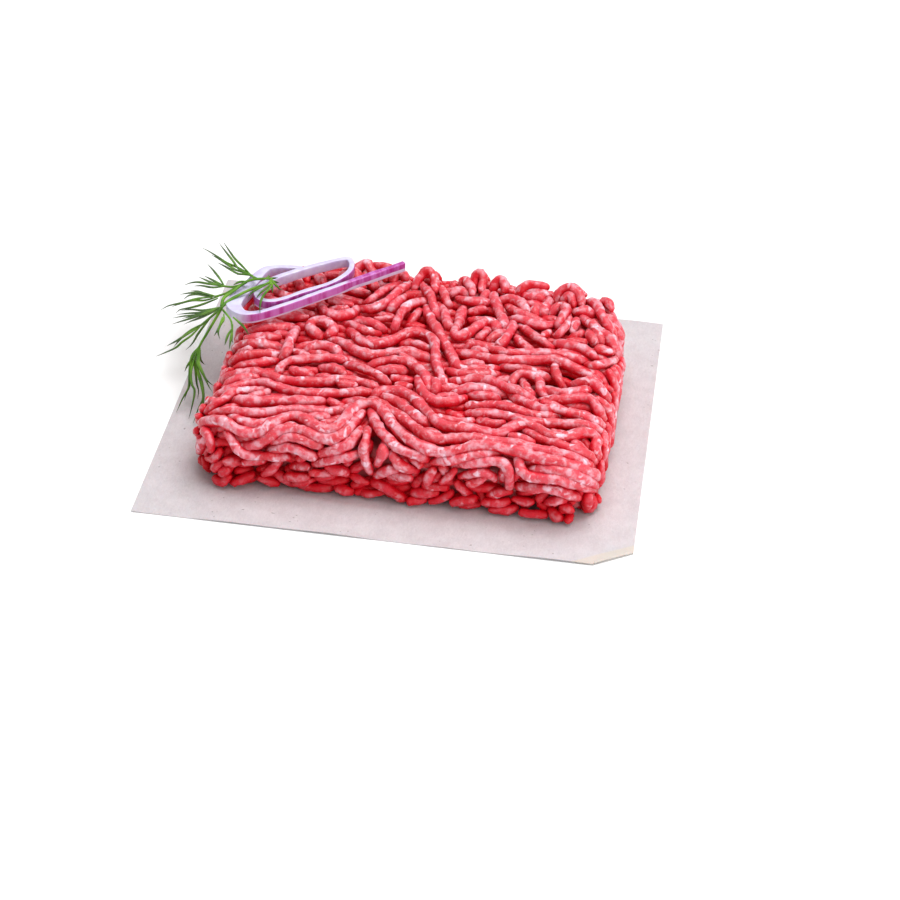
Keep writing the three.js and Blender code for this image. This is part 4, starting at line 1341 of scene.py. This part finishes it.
# Its needles in groups: each group has its height at the tips and at the roots, and each needle its route
# from the tip
DILL_NEEDLES = [
    (27.5, 40, [
        [(-97, 71), (-89.5, 59.5), (-84.5, 53.5), (-79, 47)],
        [(-98.5, 69.5), (-93.5, 62.5), (-89.5, 57), (-85, 50.5), (-81, 48)],
        [(-105, 64.5), (-101, 62), (-96.5, 58.5), (-91.5, 54.5), (-86.5, 52), (-78, 46.5)],
        [(-99.5, 59.5), (-95, 56.5), (-90, 52.5), (-86, 49.5), (-80, 47.5)],
        [(-95.5, 54), (-91.5, 51.5), (-88, 49), (-85, 47), (-81.5, 47)],
    ]),
    (24, 34, [
        [(-99.5, 52), (-96.5, 48.5), (-93.5, 44.5), (-91, 41), (-88, 36)],
    ]),
    (21, 34, [
        [(-100.5, 41), (-97.5, 39.5), (-93.5, 37.5), (-88.5, 36)],
        [(-105, 33.5), (-102.5, 36), (-99.5, 37), (-95, 36.5), (-88.5, 36)],
        [(-101, 33.5), (-97.5, 34.5), (-93, 34), (-88.5, 35.5)],
        [(-98.5, 42.5), (-94.5, 40), (-90.5, 37.5), (-87.5, 36)],
    ]),
    (40, 41, [
        [(-85, 46), (-82, 47), (-79, 46.5)],
        [(-84.5, 37.5), (-82.5, 40.5), (-80, 41.5)],
    ]),
    (16, 33, [
        [(-101.5, 29.5), (-98, 30), (-94.5, 28.5), (-89.5, 27.5)],
        [(-102.5, 22.5), (-101, 26), (-97.5, 27.5), (-93, 27), (-88.5, 28)],
        [(-110, 12.5), (-107.5, 16.5), (-103, 19.5), (-98.5, 22.5), (-93.5, 23.5), (-88.5, 27.5)],
        [(-103, 11.5), (-102, 14.5), (-98.5, 16.5), (-94, 20), (-88.5, 26)],
        [(-105, 26), (-101, 28), (-96.5, 29), (-91, 28)],
        [(-106, 16), (-101.5, 20.5), (-96.5, 24.5), (-91, 26.5)],
    ]),
    (15, 38, [
        [(-102.5, 10.5), (-97.5, 12.5), (-92.5, 14), (-87.5, 17.5), (-85, 20)],
        [(-102.5, 3), (-98.5, 6.5), (-94, 10.5), (-90, 14.5), (-85.5, 19.5)],
        [(-97.5, 4), (-95, 7), (-92.5, 9.5), (-89, 14), (-85.5, 19.5)],
        [(-101.5, 14), (-97, 15.5), (-91.5, 16), (-85, 20)],
        [(-99.5, 8), (-95.5, 10.5), (-90.5, 14), (-85, 20)],
        [(-103.5, 7.5), (-99, 10), (-93.5, 12), (-88, 16), (-85, 19.5)],
    ]),
    (9, 26, [
        [(-103, -22), (-100, -18.5), (-96.5, -14), (-95, -9.5), (-92.5, -4), (-90.5, 3)],
        [(-97.5, -14), (-96.5, -8.5), (-95, -3.5), (-93, 1), (-90, 5.5)],
        [(-92, -15), (-90.5, -9.5), (-90, -2.5), (-89, 4.5), (-87.5, 12.5)],
        [(-100.5, -13.5), (-97.5, -9), (-94.5, -3.5), (-91.5, 1.5)],
    ]),
    (2.4, 21, [
        [(-84.5, -59.5), (-84.5, -50), (-84, -41.5), (-85, -36.5), (-87, -28), (-88.5, -18.5),
         (-87, -10.5)],
        [(-83.5, -51), (-84, -44), (-84.5, -39), (-86, -32.5), (-87.5, -24), (-88, -15)],
        [(-78.5, -63), (-79.5, -53.5), (-81, -43.5), (-83.5, -38.5), (-86, -29.5), (-87.5, -13.5)],
        [(-78.5, -48.5), (-79.5, -43), (-81.5, -38), (-84, -30), (-86.5, -22), (-87, -13.5)],
        [(-76, -65.5), (-76.5, -55.5), (-76.5, -47.5), (-79.5, -38.5), (-82.5, -31.5), (-85.5, -22.5),
         (-86.5, -12.5)],
        [(-74.5, -64.5), (-75, -54.5), (-76.5, -46.5), (-79, -38.5), (-81.5, -32.5), (-84.5, -25.5),
         (-87, -14)],
    ]),
    (12, 21, [
        [(-74, -42.5), (-76.5, -38.5), (-79.5, -33), (-83, -27), (-85.5, -21.5), (-86, -14)],
        [(-74, -38.5), (-76.5, -36.5), (-79, -33.5), (-82.5, -27), (-84.5, -22.5), (-86, -15)],
        [(-81.5, -24), (-83.5, -22), (-85, -19), (-86, -14.5)],
        [(-88.5, -30.5), (-88.5, -26), (-88, -22), (-88, -16)],
    ]),
    (36.4, 37.6, [
        [(-74, -6), (-75, -4), (-77, 4.5)],
        [(-74.5, -11), (-75.5, -4.5), (-76.5, 2.5), (-77.5, 7.5)],
        [(-77, -8.5), (-77.5, -1), (-77, 4.5)],
        [(-69, 1), (-72, 6), (-75, 9.5), (-78.5, 13)],
        [(-80, -4.5), (-82, 0.5), (-82.5, 5.5), (-82, 10.5), (-83, 14.5)],
        [(-83, -2.5), (-82.5, 5), (-83, 12)],
    ]),
    (41.4, 43, [
        [(-68, 17.5), (-69.5, 24), (-70, 31), (-68.5, 38.5), (-68, 42)],
        [(-76, 28.5), (-75, 34), (-71.5, 39.5), (-69.5, 43)],
        [(-72.5, 29), (-71.5, 34), (-69.5, 39), (-69, 43)],
        [(-63.5, 37.5), (-66.5, 41), (-69, 44)],
        [(-66.5, 34.5), (-68, 40), (-69.5, 44)],
        [(-65.5, 43), (-67.5, 43.5), (-70, 44.5)],
        [(-67, 47), (-69, 46), (-72, 45)],
        [(-71.5, 48.5), (-71, 46.5), (-72.5, 45)],
    ]),
]
STEM_SIDES = 7
STEM_STEP = 1.6
NEEDLE_SIDES = 6
NEEDLE_STEP = 1.4

# How far the tips of a group are spread up and down, in what rhythm, and the lowest that a tip may be
TIP_SPREAD = 1.5
TIP_RHYTHM = 2.4
LOWEST_TIP = 2.2


def at_height(route, height):
    """The places on the camera's rays through a seen route, at the given heights."""
    share = (EYE[2] - height) / (EYE[2] - SEEN_LEVEL)
    return np.column_stack([EYE[:2] + (route - EYE[:2]) * share[:, None], height])


def seen_line(route, start, end, step):
    """A line in space along a seen route, from one height to another."""
    flat = through(route, step)
    return at_height(flat, np.linspace(start, end, len(flat)))


class MINCE_OT_dill(bpy.types.Operator):
    """Lays the sprig of dill over the onion and down the block's left side"""

    bl_idname = "mince.dill"
    bl_label = "Dill"

    def execute(self, context):
        sizes, colours = settings()
        width = sizes.needle / MM
        tubes, shade = [], []
        for thick, start, end, route in DILL_STEMS:
            stem = seen_line(route, start, end, STEM_STEP)
            tubes.append((stem, np.linspace(thick, thick * 0.75, len(stem)) / 2, STEM_SIDES))
            shade.append(even_shade(0.0))
        for tip, root, routes in DILL_NEEDLES:
            for number, route in enumerate(routes):
                spread = TIP_SPREAD * math.sin(TIP_RHYTHM * number)
                needle = seen_line(route, max(tip + spread, LOWEST_TIP), root, NEEDLE_STEP)
                tubes.append((needle, self.taper(needle, width), NEEDLE_SIDES))
                darker_tips = np.linspace(1, 0, len(needle)) ** 1.2
                shade.append(shade_along(darker_tips, NEEDLE_SIDES))
        dill = tubes_object("dill_sprig_leaves", tubes, depth=shade)
        dill.data.materials.append(dill_material(colours))
        hand_over(dill, ["dill_sprig"])
        return {"FINISHED"}

    def taper(self, needle, width):
        """A needle's radius from its fine tip: full in the middle, slimmer at the root."""
        t = np.linspace(1, 0, len(needle))
        return width / 2 * (0.6 + 0.55 * np.sin(math.pi * t)) * (1 - 0.8 * t**5)


# The stage: the floor, the white world, and the place and size of each lamp
FLOOR_SIZE = 12000
FLOOR_COLOUR = (0.94, 0.94, 0.94, 1)
WORLD_STRENGTH = 0.5
LAMP_ABOVE = (300, 250, 1700)
LAMP_ABOVE_SIZE = 1300
LAMP_FRONT = (480, -345, 230)
LAMP_FRONT_SIZE = 420
LAMP_FRONT_SHARE = 0.042


class MINCE_OT_stage(bpy.types.Operator):
    """Sets up the pale floor, the soft light and the camera"""

    bl_idname = "mince.stage"
    bl_label = "Stage"

    def execute(self, context):
        sizes, _ = settings()
        self.floor()
        self.camera()
        self.world()
        self.lamp("lamp_above", LAMP_ABOVE, LAMP_ABOVE_SIZE, sizes.lamp)
        self.lamp("lamp_front", LAMP_FRONT, LAMP_FRONT_SIZE, sizes.lamp * LAMP_FRONT_SHARE)
        return {"FINISHED"}

    def floor(self):
        """A wide plain floor under the paper."""
        bpy.ops.object.select_all(action="DESELECT")
        bpy.ops.mesh.primitive_plane_add(size=FLOOR_SIZE * MM)
        floor = bpy.context.object
        floor.name = "floor"
        paint = Paint("pale_floor", Roughness=0.8)
        floor.data.materials.append(paint.show(Base_Color=FLOOR_COLOUR))

    def camera(self):
        """The camera that sees the block as the photo shows it."""
        bpy.ops.object.camera_add()
        camera = bpy.context.object
        camera.name = "camera"
        camera.data.lens = LENS
        back = Vector(BACKWARDS)
        level = Vector((0, 0, 1)).cross(back).normalized()
        upright = back.cross(level)
        right = level * math.cos(ROLL) + upright * math.sin(ROLL)
        up = upright * math.cos(ROLL) - level * math.sin(ROLL)
        turned = Matrix((right, up, back)).transposed().to_4x4()
        camera.matrix_world = Matrix.Translation(Vector(EYE) * MM) @ turned
        bpy.context.scene.camera = camera

    def world(self):
        """Even white light from all sides."""
        scene = bpy.context.scene
        scene.view_settings.view_transform = "Standard"
        world = bpy.data.worlds.new("white_studio")
        world.use_nodes = True
        background = world.node_tree.nodes["Background"]
        background.inputs["Color"].default_value = (1, 1, 1, 1)
        background.inputs["Strength"].default_value = WORLD_STRENGTH
        scene.world = world

    def lamp(self, name, place, size, power):
        """A soft square lamp that points at the block."""
        bpy.ops.object.light_add(type="AREA", location=Vector(place) * MM)
        lamp = bpy.context.object
        lamp.name = name
        lamp.data.size = size * MM
        lamp.data.energy = power
        lamp.rotation_euler = Vector(place).to_track_quat("Z", "Y").to_euler()


class MINCE_PT_panel(bpy.types.Panel):
    """Lists the pieces, the sizes and the colours in the sidebar"""

    bl_idname = "MINCE_PT_panel"
    bl_label = "Minced meat on paper"
    bl_space_type = "VIEW_3D"
    bl_region_type = "UI"
    bl_category = "Mince"

    def draw(self, context):
        for piece in PIECES:
            self.layout.operator(piece.bl_idname)
        for group in settings():
            for name in group.__annotations__:
                self.layout.prop(group, name)


PIECES = (
    MINCE_OT_stage,
    MINCE_OT_strands,
    MINCE_OT_core,
    MINCE_OT_paper,
    MINCE_OT_onion,
    MINCE_OT_dill,
)
CLASSES = (MinceColours, MinceSizes, *PIECES, MINCE_PT_panel)


def register():
    """Makes the add-on's classes and settings known."""
    for cls in CLASSES:
        bpy.utils.register_class(cls)
    bpy.types.Scene.mince_colours = PointerProperty(type=MinceColours)
    bpy.types.Scene.mince_sizes = PointerProperty(type=MinceSizes)


def unregister():
    """Takes them away again."""
    del bpy.types.Scene.mince_sizes
    del bpy.types.Scene.mince_colours
    for cls in reversed(CLASSES):
        bpy.utils.unregister_class(cls)


def main():
    """Builds everything."""
    register()
    bpy.ops.mince.stage()
    bpy.ops.mince.strands()
    bpy.ops.mince.core()
    bpy.ops.mince.paper()
    bpy.ops.mince.onion()
    bpy.ops.mince.dill()


if __name__ == "__main__":
    main()
